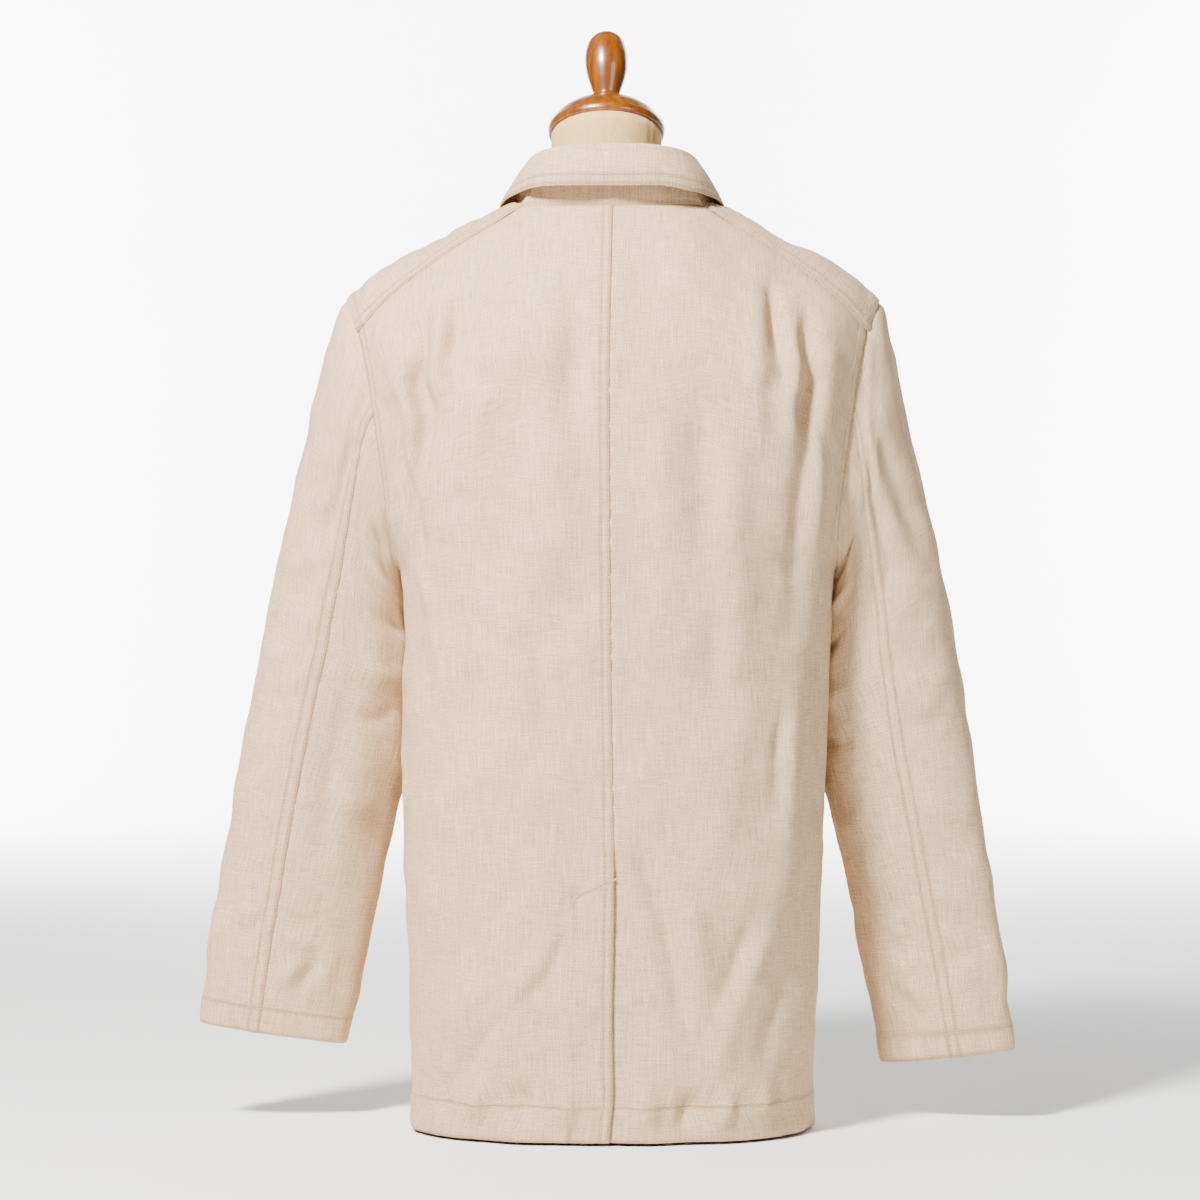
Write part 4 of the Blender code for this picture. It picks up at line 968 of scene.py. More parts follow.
def front_spot_at(side, u, v):
    """A place on a front: u from the opening to the side, v from the hem up and over."""
    if v <= FRONT_SPLIT:
        z = blend(HEM_Z, UNDERARM_Z, v / FRONT_SPLIT)
        step = 0.0
        inner = (angle_at(side, -FRONT_LAP, z), level_at(-1, 0.0, z))
        outer = (pi / 2, level_at(-1, half_width(side, z), z))
    else:
        up = (v - FRONT_SPLIT) / (1.0 - FRONT_SPLIT)
        if up <= FRONT_RIDGE:
            step = step_at(up / FRONT_RIDGE)
            outer = armhole_place(side, -1, step)
        else:
            over_steps = ARMHOLE_STEPS - SHOULDER_SEAM_STEP
            step = ARMHOLE_STEPS + over_steps * min((up - FRONT_RIDGE) / (1.0 - FRONT_RIDGE), 1.0)
            turned = armhole_place(side, 1, 2 * ARMHOLE_STEPS - step)
            outer = (turned[0], 4.0 - turned[1])
        inner = between_steps(lambda whole: front_inner(side, whole), step)
    angle = blend(inner[0], outer[0], u)
    level = blend(inner[1], outer[1], u)
    over = (step - ARMHOLE_STEPS) / (ARMHOLE_STEPS - SHOULDER_SEAM_STEP)
    if over > 0:
        x = lateral_at(side, angle, SHOULDER_MID_Z)
        seam = 4.0 - shoulder_seam_level(side, max(x, NECK_SEAM_END[0]))
        near, far = seam_drop_levels(side)
        straight = blend(4.0 - near, 4.0 - far, u)
        level += (seam - straight + SHOULDER_LIFT) * over ** 2
    bare = body_point(side, -1, angle, level)
    x = side * (bare.x - CENTRE_X)
    sink = lap_sink(side, -1, x, bare.z) if level < 2.0 else 0.0
    return body_point(side, -1, angle, level, sink)


def sleeve_head(side, face, step):
    """The sleeve's first ring, tucked in under the body's armhole edge."""
    point = body_point(side, face, *armhole_place(side, face, step), SLEEVE_HEAD_SINK)
    return point - SLEEVE_TUCK * armhole_outward(side)


def back_seam_step(side, v):
    """Where the sleeve's back seam runs, in steps round the sleeve, up from the cuff."""
    return float(numpy.interp(v, SEAM_HEIGHTS, SEAM_STEPS_LEFT if side > 0 else SEAM_STEPS_RIGHT))


def top_sleeve_spot(side, u, v):
    """A place on a top sleeve: u from its back seam to its front seam, v from the cuff up."""
    ring = SLEEVE_SECTIONS * (1.0 - v)
    back_steps = ARMHOLE_STEPS - back_seam_step(side, v)
    at = u * (back_steps + ARMHOLE_STEPS - FRONT_SEAM_STEP)
    if at <= back_steps:
        return sleeve_point(side, ring, 1, ARMHOLE_STEPS - back_steps + at)
    return sleeve_point(side, ring, -1, ARMHOLE_STEPS - (at - back_steps))


def under_sleeve_spot(side, u, v):
    """A place on an under sleeve: u from its back seam to its front seam, v from the cuff up."""
    first = back_seam_step(side, v)
    at = first - u * (first + FRONT_SEAM_STEP)
    spot = sleeve_point(side, SLEEVE_SECTIONS * (1.0 - v), 1 if at >= 0 else -1, abs(at))
    # only below the armhole, and less towards the sleeve's seams
    near = ease(1.0 - abs(at) / 2.6) * ease((v - 0.62) / 0.10) * ease((0.94 - v) / 0.08)
    return spot - Vector((side * UNDERARM_SHIFT * near, 0.0, 0.0))


def stand_spot(sections, u, v):
    """A place on the collar's stand, its lower edge tucked in at the neck seam."""
    seam, fold, _, away = section_at(sections, u)
    up = (fold - seam).normalized()
    low = seam - up * 0.0025 - away * 0.0006
    high = stand_top(seam, fold) + up * 0.0030 - away * 0.0010
    return low.lerp(high, v)


def fall_spot(sections, u, v):
    """A place on the collar's fall: up from the stand, over the fold and down its leaf."""
    seam, fold, edge, away = section_at(sections, u)
    start = stand_top(seam, fold)
    if v <= FALL_TURN:
        bend = pi * v / FALL_TURN
        return start + away * ((1 - cos(bend)) / 2 * FOLD_OUT) + (fold - start) * sin(bend)
    share = (v - FALL_TURN) / (1.0 - FALL_TURN)
    turned = start + away * FOLD_OUT
    if edge.x < 0:
        # the wearer's right side of the leaf hangs a little lower and closes its gap
        near = ease((-edge.x - 0.045) / 0.03) * ease(1.0 - (-edge.x - 0.085) / 0.03)
        edge = edge - Vector((0.0, 0.0, FALL_DROP * near))
    return turned.lerp(edge, share) + away * (FALL_BELLY * sin(pi * share))


def section_at(sections, u):
    """The collar's seam, fold, edge and outward direction at a share of its length."""
    at = u * (len(sections) - 1)
    low = min(int(at), len(sections) - 2)
    return tuple(a.lerp(b, at - low) for a, b in zip(sections[low], sections[low + 1]))


# ------------------------------------------------------------- fine cloth sheets


def graded(length, step, marks):
    """Shares of a length, a step apart, and much closer around each mark (place, reach)."""
    samples = 4000
    closer = 3.6
    spots = numpy.linspace(0.0, length, samples + 1)
    density = numpy.ones_like(spots)
    for mark, reach in marks:
        density += closer * numpy.exp(-((spots - mark) / reach) ** 4)
    grown = numpy.concatenate(([0.0], numpy.cumsum((density[1:] + density[:-1]) / 2)))
    grown *= length / samples
    count = int(grown[-1] / step) + 1
    return numpy.interp(numpy.linspace(0.0, grown[-1], count + 1), grown, spots) / length


def cubic_weights(coarse, shares):
    """Weights that read places at given shares from coarse ones along smooth curves."""
    at = numpy.asarray(shares) * (coarse - 1.0)
    fine = len(at)
    low = numpy.minimum(at.astype(int), coarse - 2)
    t = at - low
    weights = numpy.zeros((fine, coarse))
    parts = {
        -1: -0.5 * t + t ** 2 - 0.5 * t ** 3,
        0: 1.0 - 2.5 * t ** 2 + 1.5 * t ** 3,
        1: 0.5 * t + 2.0 * t ** 2 - 1.5 * t ** 3,
        2: -0.5 * t ** 2 + 0.5 * t ** 3,
    }
    rows = numpy.arange(fine)
    for shift, share in parts.items():
        spot = low + shift
        before = spot < 0
        after = spot > coarse - 1
        within = ~(before | after)
        numpy.add.at(weights, (rows[within], spot[within]), share[within])
        numpy.add.at(weights, (rows[before], 0), 2.0 * share[before])
        numpy.add.at(weights, (rows[before], 1), -share[before])
        numpy.add.at(weights, (rows[after], coarse - 1), 2.0 * share[after])
        numpy.add.at(weights, (rows[after], coarse - 2), -share[after])
    return weights


def fine_points(place, coarse, across_shares, up_shares):
    """Points (row, column, xyz) at given shares, read from a coarse grid of places."""
    columns, rows = coarse
    spots = numpy.array([
        [place(i / (columns - 1), j / (rows - 1)) for i in range(columns)]
        for j in range(rows)])
    across = cubic_weights(columns, across_shares)
    up = cubic_weights(rows, up_shares)
    return numpy.einsum("ja,abk,ib->jik", up, spots, across)


def smooth_step(value):
    """ease() for a whole array."""
    t = numpy.clip(value, 0.0, 1.0)
    return t * t * (3.0 - 2.0 * t)


def ripples(across, along, seed, length, size):
    """Soft uneven waves with about the given wavelength, the same each time for a seed."""
    waves = 7
    dice = numpy.random.default_rng(seed)
    total = numpy.zeros_like(across)
    for _ in range(waves):
        heading = dice.uniform(0.0, pi)
        number = 2 * pi / (length * dice.uniform(0.65, 1.6))
        phase = dice.uniform(0.0, 2 * pi)
        total += numpy.sin((across * cos(heading) + along * sin(heading)) * number + phase)
    return total * size / RIPPLE_SPREAD


class Sheet:
    """A cut piece as a fine grid: its points, outward normals and distances from its edges.

    Its creases, folded seams and grooves are gathered in height before lift() applies them,
    and the rows of stitches in its grooves in rows.
    """

    def __init__(self, points, toward, grain=0.0):
        self.points = points
        self.toward = toward
        self.grain = grain
        # how much painted shade, standing for the shadow in a seam's groove, darkens each point's
        # linen colour
        self.pressed = numpy.zeros(points.shape[:2])
        self.height = numpy.zeros(points.shape[:2])
        self.rows = []
        self.measure()

    def measure(self):
        """Finds the normals, and each point's distance from the four edges."""
        across = numpy.gradient(self.points, axis=1)
        along = numpy.gradient(self.points, axis=0)
        normals = numpy.cross(across, along) * self.toward
        size = numpy.linalg.norm(normals, axis=2, keepdims=True)
        self.normals = normals / numpy.maximum(size, TINY)
        steps = numpy.linalg.norm(numpy.diff(self.points, axis=1), axis=2)
        self.left = numpy.pad(numpy.cumsum(steps, axis=1), ((0, 0), (1, 0)))
        self.right = self.left[:, -1:] - self.left
        steps = numpy.linalg.norm(numpy.diff(self.points, axis=0), axis=2)
        self.bottom = numpy.pad(numpy.cumsum(steps, axis=0), ((1, 0), (0, 0)))
        self.top = self.bottom[-1:, :] - self.bottom

    def crumple(self, creases, strength, waves, edges, reach=SEWN_REACH, share=1.0):
        """Adds creases and ripples (seed, length, size), faded out towards the sewn edges."""
        self.height += crease_height(self, creases, strength * share)
        for seed, length, size in waves:
            self.height += ripples(self.left, self.bottom, seed, length, size * strength)
        for edge in edges:
            self.height *= smooth_step(getattr(self, edge) / reach)

    def fell(self, edge, width, rise, seed, where=1.0, roll=1.0):
        """Folds the cloth double beside an edge, which rolls down and puckers a little."""
        distance = getattr(self, edge)
        along = self.bottom if edge in ("left", "right") else self.left
        folded = 1.0 - smooth_step((distance - width) / CLOTH_STEP)
        pucker = ripples(along, along * 0.2, seed, PUCKER_LENGTH, PUCKER_SIZE)
        rolled = (rise + EDGE_ROLL) * roll * numpy.exp(-(distance / EDGE_REACH) ** 2)
        self.height += (folded * (rise + pucker) - rolled) * where

    def sink(self, edge, depth, reach, where=1.0):
        """Lets the cloth down towards an edge."""
        self.height -= depth * numpy.exp(-(getattr(self, edge) / reach) ** 2) * where

    def press(self, mask, depth):
        """Marks a seam or a row of stitches with painted shade for the linen's colour, and sinks
        it by a depth.
        """
        self.pressed = numpy.maximum(self.pressed, mask)
        self.height -= depth * mask

    def groove(self, edge, distance, depth=GROOVE, where=1.0, start=0.0, end=1.0):
        """Presses in a row of stitches beside an edge; they run between two shares of it."""
        mask = row_mask(getattr(self, edge), distance) * where
        self.press(mask, depth)
        self.rows.append((edge, distance, start, end))

    def lift(self):
        """Moves the points out by their height, and measures again."""
        self.points = self.points + self.normals * self.height[..., None]
        self.measure()

    def sew(self, thread):
        """Lays the thread in every groove."""
        for row in self.rows:
            thread.row(self.inset(*row))

    def tuck(self, edge, lengths, drop):
        """Goes on past an edge by lengths, sinking by a drop, under what is sewn over it."""
        by_row = edge in ("left", "right")
        first = edge in ("left", "bottom")
        points = self.points if by_row else numpy.swapaxes(self.points, 0, 1)
        ways = self.normals if by_row else numpy.swapaxes(self.normals, 0, 1)
        near, inner = (points[:, 0], points[:, 3]) if first else (points[:, -1], points[:, -4])
        out = ways[:, 0] if first else ways[:, -1]
        way = near - inner
        way /= numpy.maximum(numpy.linalg.norm(way, axis=1, keepdims=True), TINY)
        lengths = numpy.broadcast_to(numpy.asarray(lengths, float), (len(near),))[:, None]
        shares = (0.3, 0.65, 1.0)
        added = [near + way * lengths * share - out * drop * share ** 1.5 for share in shares]
        stack = numpy.stack(added, axis=1)
        both = (stack[:, ::-1], points) if first else (points, stack)
        points = numpy.concatenate(both, axis=1)
        pressed = self.pressed if by_row else self.pressed.T
        spare = pressed[:, :1] if first else pressed[:, -1:]
        spare = numpy.repeat(spare, len(shares), axis=1)
        pressed = numpy.concatenate((spare, pressed) if first else (pressed, spare), axis=1)
        self.points = points if by_row else numpy.swapaxes(points, 0, 1)
        self.pressed = pressed if by_row else pressed.T
        self.measure()

    def grained(self):
        """Places in metres along the cloth's own threads, from its grain line."""
        spot = int(self.grain * (self.left.shape[1] - 1))
        foot = self.bottom[:, spot:spot + 1]
        across = self.left - self.left[:, spot:spot + 1]
        return numpy.stack((across, foot + (self.bottom - foot) * 0.25), axis=2)

    def size(self):
        """The width and length that the piece is cut to, and its flat area."""
        cells = self.points
        side_a = cells[1:, 1:] - cells[:-1, :-1]
        side_b = cells[1:, :-1] - cells[:-1, 1:]
        area = 0.5 * numpy.linalg.norm(numpy.cross(side_a, side_b), axis=2).sum()
        return float(self.left.max()), float(self.bottom.max()), float(area)

    def inset(self, edge, distance, start=0.0, end=1.0):
        """The points and normals of a line at a distance inside an edge."""
        depth = getattr(self, edge)
        lines = []
        by_row = edge in ("left", "right")
        count = depth.shape[0] if by_row else depth.shape[1]
        for number in range(int(start * (count - 1)), int(end * (count - 1)) + 1):
            keys = depth[number] if by_row else depth[:, number]
            spots = self.points[number] if by_row else self.points[:, number]
            ways = self.normals[number] if by_row else self.normals[:, number]
            if edge in ("right", "top"):
                keys, spots, ways = keys[::-1], spots[::-1], ways[::-1]
            if keys[-1] < distance:
                continue
            both = numpy.concatenate((spots, ways), axis=1)
            lines.append([numpy.interp(distance, keys, both[:, k]) for k in range(6)])
        lines = numpy.array(lines)
        return lines[:, :3], lines[:, 3:]

    def at(self, u, v):
        """The point and normal at a share across and a share up."""
        rows, columns = self.left.shape
        j = min(max(v, 0.0), 1.0) * (rows - 1)
        i = min(max(u, 0.0), 1.0) * (columns - 1)
        j0 = min(int(j), rows - 2)
        i0 = min(int(i), columns - 2)
        a = i - i0
        b = j - j0
        results = []
        for field in (self.points, self.normals):
            low = field[j0, i0] * (1 - a) + field[j0, i0 + 1] * a
            high = field[j0 + 1, i0] * (1 - a) + field[j0 + 1, i0 + 1] * a
            results.append(low * (1 - b) + high * b)
        return results


def cut_sheet(place, grid, toward, grain=0.0):
    """A sheet of places on a grid that is fine along its seams."""
    across = graded(grid.width, grid.across_step, grid.across_marks)
    up = graded(grid.length, grid.up_step, grid.up_marks)
    sheet = Sheet(fine_points(place, grid.coarse, across, up), toward, grain)
    sheet.across = across
    return sheet


def crease_height(sheet, creases, strength):
    """The height of a table of creases over a sheet."""
    total = numpy.zeros_like(sheet.left)
    for row in creases:
        run = numpy.array(((row.s1 - row.s0) * MM, (row.t1 - row.t0) * MM))
        length = numpy.linalg.norm(run)
        way = run / length
        s = sheet.left - row.s0 * MM
        t = sheet.bottom - row.t0 * MM
        inside = numpy.clip((s * way[0] + t * way[1]) / length, 0.0, 1.0)
        bow = row.bow * MM * numpy.sin(pi * inside)
        wide = row.width * MM * (0.75 + 0.5 * inside)
        across = (s * way[1] - t * way[0] - bow) / wide
        # one flank of a crease is steeper than the other
        profile = numpy.exp(-across ** 2) * (1.0 + 0.30 * numpy.tanh(across))
        total += row.height * MM * numpy.sin(pi * inside) ** 1.3 * profile
    return total * strength


def row_mask(distance, at, width=ROW_WIDTH):
    """How much a row of stitches at a distance from an edge pulls the cloth down."""
    return numpy.exp(-((distance - at) / width) ** 2)


# ----------------------------------------------------------------- finished meshes


def collection():
    """The collection that holds the dressed pieces."""
    name = "dressed_jacket"
    made = bpy.data.collections.get(name)
    if made is None:
        made = bpy.data.collections.new(name)
        bpy.context.scene.collection.children.link(made)
    return made


def add_object(name, mesh, material):
    """A dressed object that stays with the part's root."""
    mesh.materials.append(material)
    made = bpy.data.objects.new(name, mesh)
    collection().objects.link(made)
    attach(made, "root")
    return made


def grid_mesh(name, points, uv, pressed=None):
    """A mesh on a grid of points, with a UV layer in metres of cloth and the painted shade of its
    seams' grooves.
    """
    rows, columns = points.shape[:2]
    bm = bmesh.new()
    bmesh.ops.create_grid(bm, x_segments=columns - 1, y_segments=rows - 1, size=1.0)
    mesh = bpy.data.meshes.new(name)
    bm.to_mesh(mesh)
    bm.free()
    flat = numpy.zeros(len(mesh.vertices) * 3)
    mesh.vertices.foreach_get("co", flat)
    flat = flat.reshape(-1, 3)
    i = numpy.rint((flat[:, 0] + 1.0) / 2 * (columns - 1)).astype(int)
    j = numpy.rint((flat[:, 1] + 1.0) / 2 * (rows - 1)).astype(int)
    mesh.vertices.foreach_set("co", points[j, i].ravel())
    corners = numpy.zeros(len(mesh.loops), dtype=int)
    mesh.loops.foreach_get("vertex_index", corners)
    layer = mesh.uv_layers.new(name="cloth")
    layer.data.foreach_set("uv", uv[j[corners], i[corners]].ravel())
    # the painted shade of the seams' grooves, which the linen's material darkens its colour by
    if pressed is not None:
        marks = mesh.attributes.new("pressed", "FLOAT", "POINT")
        marks.data.foreach_set("value", pressed[j, i].ravel())
    mesh.shade_smooth()
    return mesh


def add_cloth(name, sheet, node, flip=False):
    """A sheet as a thin shell of linen that stands for its solid."""
    mesh = grid_mesh(name, sheet.points, sheet.grained(), sheet.pressed)
    if flip:
        bm = bmesh.new()
        bm.from_mesh(mesh)
        bmesh.ops.reverse_faces(bm, faces=bm.faces)
        bm.to_mesh(mesh)
        bm.free()
    made = add_object(name, mesh, look("linen"))
    shell = made.modifiers.new("cloth", "SOLIDIFY")
    shell.thickness = settings().cloth_thickness
    shell.offset = 0.0
    shell.use_rim = True
    if node:
        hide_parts(node)
    width, length, area = sheet.size()


class Thread:
    """Rows of stitches, gathered into one mesh."""

    def __init__(self):
        self.stitches = []

    def stitch(self, middle, way, out, length, radius):
        """Notes one stitch by the three lengths that its shape is set by, and its middle."""
        self.stitches.append((numpy.cross(out, way) * radius, out * radius, way * length, middle))

    def row(self, path):
        """Stitches end to end along a path of points and normals."""
        points, normals = path
        pitch = settings().stitch_pitch
        radius = settings().thread_radius
        length = pitch * STITCH_SHARE
        lift = settings().cloth_thickness / 2
        steps = numpy.linalg.norm(numpy.diff(points, axis=0), axis=1)
        along = numpy.concatenate(([0.0], numpy.cumsum(steps)))

        def read_at(values, at):
            return numpy.array([numpy.interp(at, along, values[:, k]) for k in range(3)])

        for at in numpy.arange(pitch / 2, along[-1] - pitch / 2, pitch):
            start = read_at(points, at - length / 2)
            end = read_at(points, at + length / 2)
            out = read_at(normals, at)
            way = end - start
            way /= max(numpy.linalg.norm(way), TINY)
            out = out - way * out.dot(way)
            out /= max(numpy.linalg.norm(out), TINY)
            self.stitch((start + end) / 2 + out * lift, way, out, length, radius)

    def tack(self, start, end, out, width=0.0024):
        """A bar tack: close stitches across a short line."""
        start = numpy.array(start)
        out = numpy.array(out)
        length = numpy.linalg.norm(numpy.array(end) - start)
        way = (numpy.array(end) - start) / length
        cross = numpy.cross(way, out)
        cross /= numpy.linalg.norm(cross)
        start = start + out * (settings().cloth_thickness / 2)
        radius = settings().thread_radius * TACK_THICKER
        for at in numpy.arange(0.0, length, TACK_PITCH):
            self.stitch(start + way * at, cross, out, width, radius)

    def build(self, name):
        """Sets a copy of one small four-sided thread, which dips at both ends, on each stitch."""
        shape = bmesh.new()
        bmesh.ops.create_cone(
            shape, cap_ends=True, segments=4, radius1=1.0, radius2=1.0, depth=0.54)
        shape.normal_update()
        bmesh.ops.translate(shape, verts=shape.verts, vec=(0.0, 0.5, 0.0))
        caps = [face for face in shape.faces if abs(face.normal.z) > 0.5]
        for tip in bmesh.ops.poke(shape, faces=caps)["verts"]:
            tip.co = (0.0, -0.9, 0.5 if tip.co.z > 0 else -0.5)
        single = bpy.data.meshes.new(name)
        shape.to_mesh(single)
        form = numpy.array([tuple(vertex.co) for vertex in shape.verts])
        shape.free()
        bm = bmesh.new()
        for _ in self.stitches:
            bm.from_mesh(single)
        bpy.data.meshes.remove(single)
        mesh = bpy.data.meshes.new(name)
        bm.to_mesh(mesh)
        bm.free()
        stitches = numpy.array(self.stitches)
        spots = numpy.einsum("ka,nab->nkb", form, stitches[:, :3]) + stitches[:, None, 3]
        mesh.vertices.foreach_set("co", spots.ravel())
        mesh.shade_smooth()
        made = add_object(name, mesh, look("thread"))


# --------------------------------------------------------------------- materials


def shader_node(tree, kind, **values):
    """A node whose inputs, by name or by number as i0, i1, are values or other outputs."""
    node = tree.nodes.new(kind)
    for key, value in values.items():
        if hasattr(node, key):
            setattr(node, key, value)
            continue
        spot = int(key[1:]) if key[0] == "i" and key[1:].isdigit() else key
        socket = node.inputs[spot]
        if isinstance(value, bpy.types.NodeSocket):
            tree.links.new(value, socket)
        else:
            socket.default_value = value
    return node


def math_node(tree, operation, *values):
    """The result of a sum on values or other outputs."""
    inputs = {"i%d" % number: value for number, value in enumerate(values)}
    return shader_node(tree, "ShaderNodeMath", operation=operation, **inputs).outputs[0]


def set_inputs(node, **values):
    """Sets sockets by name, with an underscore for each space."""
    for name, value in values.items():
        node.inputs[name.replace("_", " ")].default_value = value


def new_material(name):
    """A material, its node tree, its shader and the object's own coordinates."""
    material = bpy.data.materials.new(name)
    material.use_nodes = True
    tree = material.node_tree
    place = shader_node(tree, "ShaderNodeTexCoord").outputs["Object"]
    return material, tree, tree.nodes["Principled BSDF"], place


def ramp(tree, value, stops, socket):
    """Colours a socket by a value."""
    node = tree.nodes.new("ShaderNodeValToRGB")
    tree.links.new(value, node.inputs[0])
    elements = node.color_ramp.elements
    while len(elements) < len(stops):
        elements.new(0.5)
    for element, (place, colour) in zip(elements, stops):
        element.position = place
        element.color = (*colour, 1.0)
    tree.links.new(node.outputs["Color"], socket)


def noise(tree, place, scale, detail=2.0, turn=0.0, shift=0.0):
    """Noise stretched along the axes of a place, by its number of cells in a metre."""
    spread = shader_node(tree, "ShaderNodeMapping", Vector=place)
    set_inputs(
        spread, Scale=(*scale, 1.0) if len(scale) == 2 else scale,
        Location=(shift, shift * 0.7, 0.0), Rotation=(0.0, 0.0, turn))
    made = shader_node(tree, "ShaderNodeTexNoise", Vector=spread.outputs[0])
    set_inputs(made, Scale=1.0, Detail=detail, Roughness=0.55)
    return made.outputs["Fac"]


def mix_values(tree, *pairs):
    """The sum of values, each less a half and times its weight, on top of a half."""
    total = None
    for value, weight in pairs:
        middle = 0.5 - weight / 2 if total is None else -weight / 2
        part = math_node(tree, "MULTIPLY_ADD", value, weight, middle)
        total = part if total is None else math_node(tree, "ADD", total, part)
    return total


def add_bump(tree, shader, height, strength, distance):
    """Gives a shader small relief from a height."""
    bump = shader_node(tree, "ShaderNodeBump", Height=height)
    set_inputs(bump, Strength=strength, Distance=distance)
    tree.links.new(bump.outputs[0], shader.inputs["Normal"])


def linen_material(name, dark, light, relief=1.0):
    """A matt, slubby plain weave with streaks along its warp and its weft."""
    material, tree, shader, _ = new_material(name)
    place = shader_node(tree, "ShaderNodeUVMap", uv_map="cloth").outputs[0]
    warp = noise(tree, place, (950.0, 36.0), 2.0)
    weft = noise(tree, place, (50.0, 900.0), 2.0, shift=7.0)
    slub = noise(tree, place, (620.0, 16.0), 1.0, shift=3.0)
    grain = noise(tree, place, (1150.0, 1150.0), 1.0, shift=5.0)
    cloud = noise(tree, place, (7.0, 5.0), 2.0, shift=11.0)
    blotch = noise(tree, place, (260.0, 90.0), 2.0, shift=17.0)
    tone = mix_values(
        tree, (warp, 0.55), (weft, 0.45), (slub, 0.12), (grain, 1.00), (cloud, 0.04),
        (blotch, 0.06))
    # painted shade: the linen's colour is darkened along its seams and rows of stitches, as shadow
    # in their grooves
    pressed = shader_node(tree, "ShaderNodeAttribute", attribute_name="pressed").outputs["Fac"]
    shade = shader_node(tree, "ShaderNodeMix", data_type="RGBA", blend_type="MULTIPLY")
    tree.links.new(math_node(tree, "MULTIPLY", pressed, SEAM_SHADE_SHARE), shade.inputs["Factor"])
    middle = tuple((a + b) / 2 for a, b in zip(dark, light))
    ramp(tree, tone, ((0.18, dark), (0.50, middle), (0.82, light)), shade.inputs[6])
    shade.inputs[7].default_value = SEAM_SHADE_COLOUR
    tree.links.new(shade.outputs[2], shader.inputs["Base Color"])
    split = shader_node(tree, "ShaderNodeSeparateXYZ", Vector=place)
    threads = []
    for axis in (0, 1):
        turned = math_node(tree, "MULTIPLY", split.outputs[axis], 2 * pi / YARN_PITCH)
        threads.append(math_node(tree, "SINE", turned))
    weave = math_node(tree, "MULTIPLY", *threads)
    height = mix_values(tree, (warp, 0.6), (weft, 0.5), (slub, 0.5), (grain, 0.35), (weave, 0.16))
    add_bump(tree, shader, height, 0.55 * relief, 0.0006)
    set_inputs(
        shader, Roughness=0.92, Specular_IOR_Level=0.12, Sheen_Weight=0.05, Sheen_Roughness=0.55)
    return material


def thread_material():
    """Sewing thread, a little darker than the linen."""
    material, tree, shader, place = new_material("linen_thread")
    fibre = noise(tree, place, (900.0, 900.0, 900.0), 2.0)
    ramp(tree, fibre, THREAD_COLOURS, shader.inputs["Base Color"])
    set_inputs(shader, Roughness=0.75, Sheen_Weight=0.10)
    return material


def wood_material():
    """Turned hardwood under a gloss varnish, its grain along the turning."""
    material, tree, shader, place = new_material("turned_wood")
    grain = noise(tree, place, (160.0, 160.0, 12.0), 4.0)
    pore = noise(tree, place, (900.0, 900.0, 40.0), 2.0, shift=3.0)
    cloud = noise(tree, place, (22.0, 22.0, 9.0), 2.0, shift=9.0)
    tone = mix_values(tree, (grain, 0.9), (pore, 0.35), (cloud, 0.6))
    ramp(tree, tone, WOOD_COLOURS, shader.inputs["Base Color"])
    add_bump(tree, shader, tone, 0.10, 0.0004)
    set_inputs(shader, Roughness=0.30, Coat_Weight=0.55, Coat_Roughness=0.10)
    return material


def horn_material():
    """Dark mottled horn with a satin polish."""
    material, tree, shader, place = new_material("button_horn")
    streak = noise(tree, place, (60.0, 60.0, 260.0), 3.0, turn=0.6)
    speck = noise(tree, place, (700.0, 700.0, 700.0), 2.0)
    tone = mix_values(tree, (streak, 1.2), (speck, 0.3))
    ramp(tree, tone, HORN_COLOURS, shader.inputs["Base Color"])
    set_inputs(shader, Roughness=0.32)
    return material


def floor_material():
    """A pale matt studio floor."""
    material, tree, shader, place = new_material("studio_floor")
    cloud = noise(tree, place, (2.0, 2.0, 2.0), 2.0)
    ramp(tree, cloud, FLOOR_COLOURS, shader.inputs["Base Color"])
    set_inputs(shader, Roughness=0.9)
    return material


YARN_PITCH = 0.00095
SEAM_SHADE_SHARE = 0.78        # how strongly the painted shade darkens a seam's groove
# colour that the linen is multiplied by in the painted shade of a seam's groove
SEAM_SHADE_COLOUR = (0.62, 0.55, 0.47, 1.0)
THREAD_COLOURS = ((0.25, (0.46, 0.31, 0.18)), (0.75, (0.68, 0.49, 0.31)))
WOOD_COLOURS = (
    (0.15, (0.050, 0.008, 0.0004)), (0.45, (0.140, 0.036, 0.0012)),
    (0.85, (0.260, 0.085, 0.0025)))
HORN_COLOURS = (
    (0.20, (0.05, 0.028, 0.014)), (0.55, (0.16, 0.085, 0.040)), (0.85, (0.36, 0.22, 0.11)))
FLOOR_COLOURS = ((0.2, (0.90, 0.90, 0.90)), (0.8, (0.93, 0.93, 0.93)))
MATERIALS = {}


def look(name):
    """A shared material, made the first time that it is asked for."""
    now = settings()
    makers = {
        "linen": lambda: linen_material(
            "oat_linen", tuple(now.linen_dark), tuple(now.linen_light)),
        "cover": lambda: linen_material(
            "cream_calico", tuple(now.cover_dark), tuple(now.cover_light), 0.6),
        "thread": thread_material,
        "wood": wood_material,
        "horn": horn_material,
        "floor": floor_material,
    }
    if name not in MATERIALS:
        MATERIALS[name] = makers[name]()
    return MATERIALS[name]


# ---------------------------------------------------------------- dressed pieces


def side_word(side):
    """The word for the wearer's side in the names of pieces."""
    return "left" if side > 0 else "right"


def press_vent(sheet):
    """Presses in the row beside the vent and the slanting row above it."""
    level = sheet.points[..., 2]
    fall = (VENT_SLANT_HIGH_Z - VENT_SLANT_LOW_Z) / (VENT_ROW - ROW_IN)
    slant = VENT_SLANT_HIGH_Z - fall * (sheet.left - ROW_IN)
    sheet.press(row_mask(sheet.left, VENT_ROW) * (level < VENT_SLANT_LOW_Z), GROOVE)
    sheet.press(row_mask(level, slant) * (sheet.left < VENT_ROW), GROOVE)


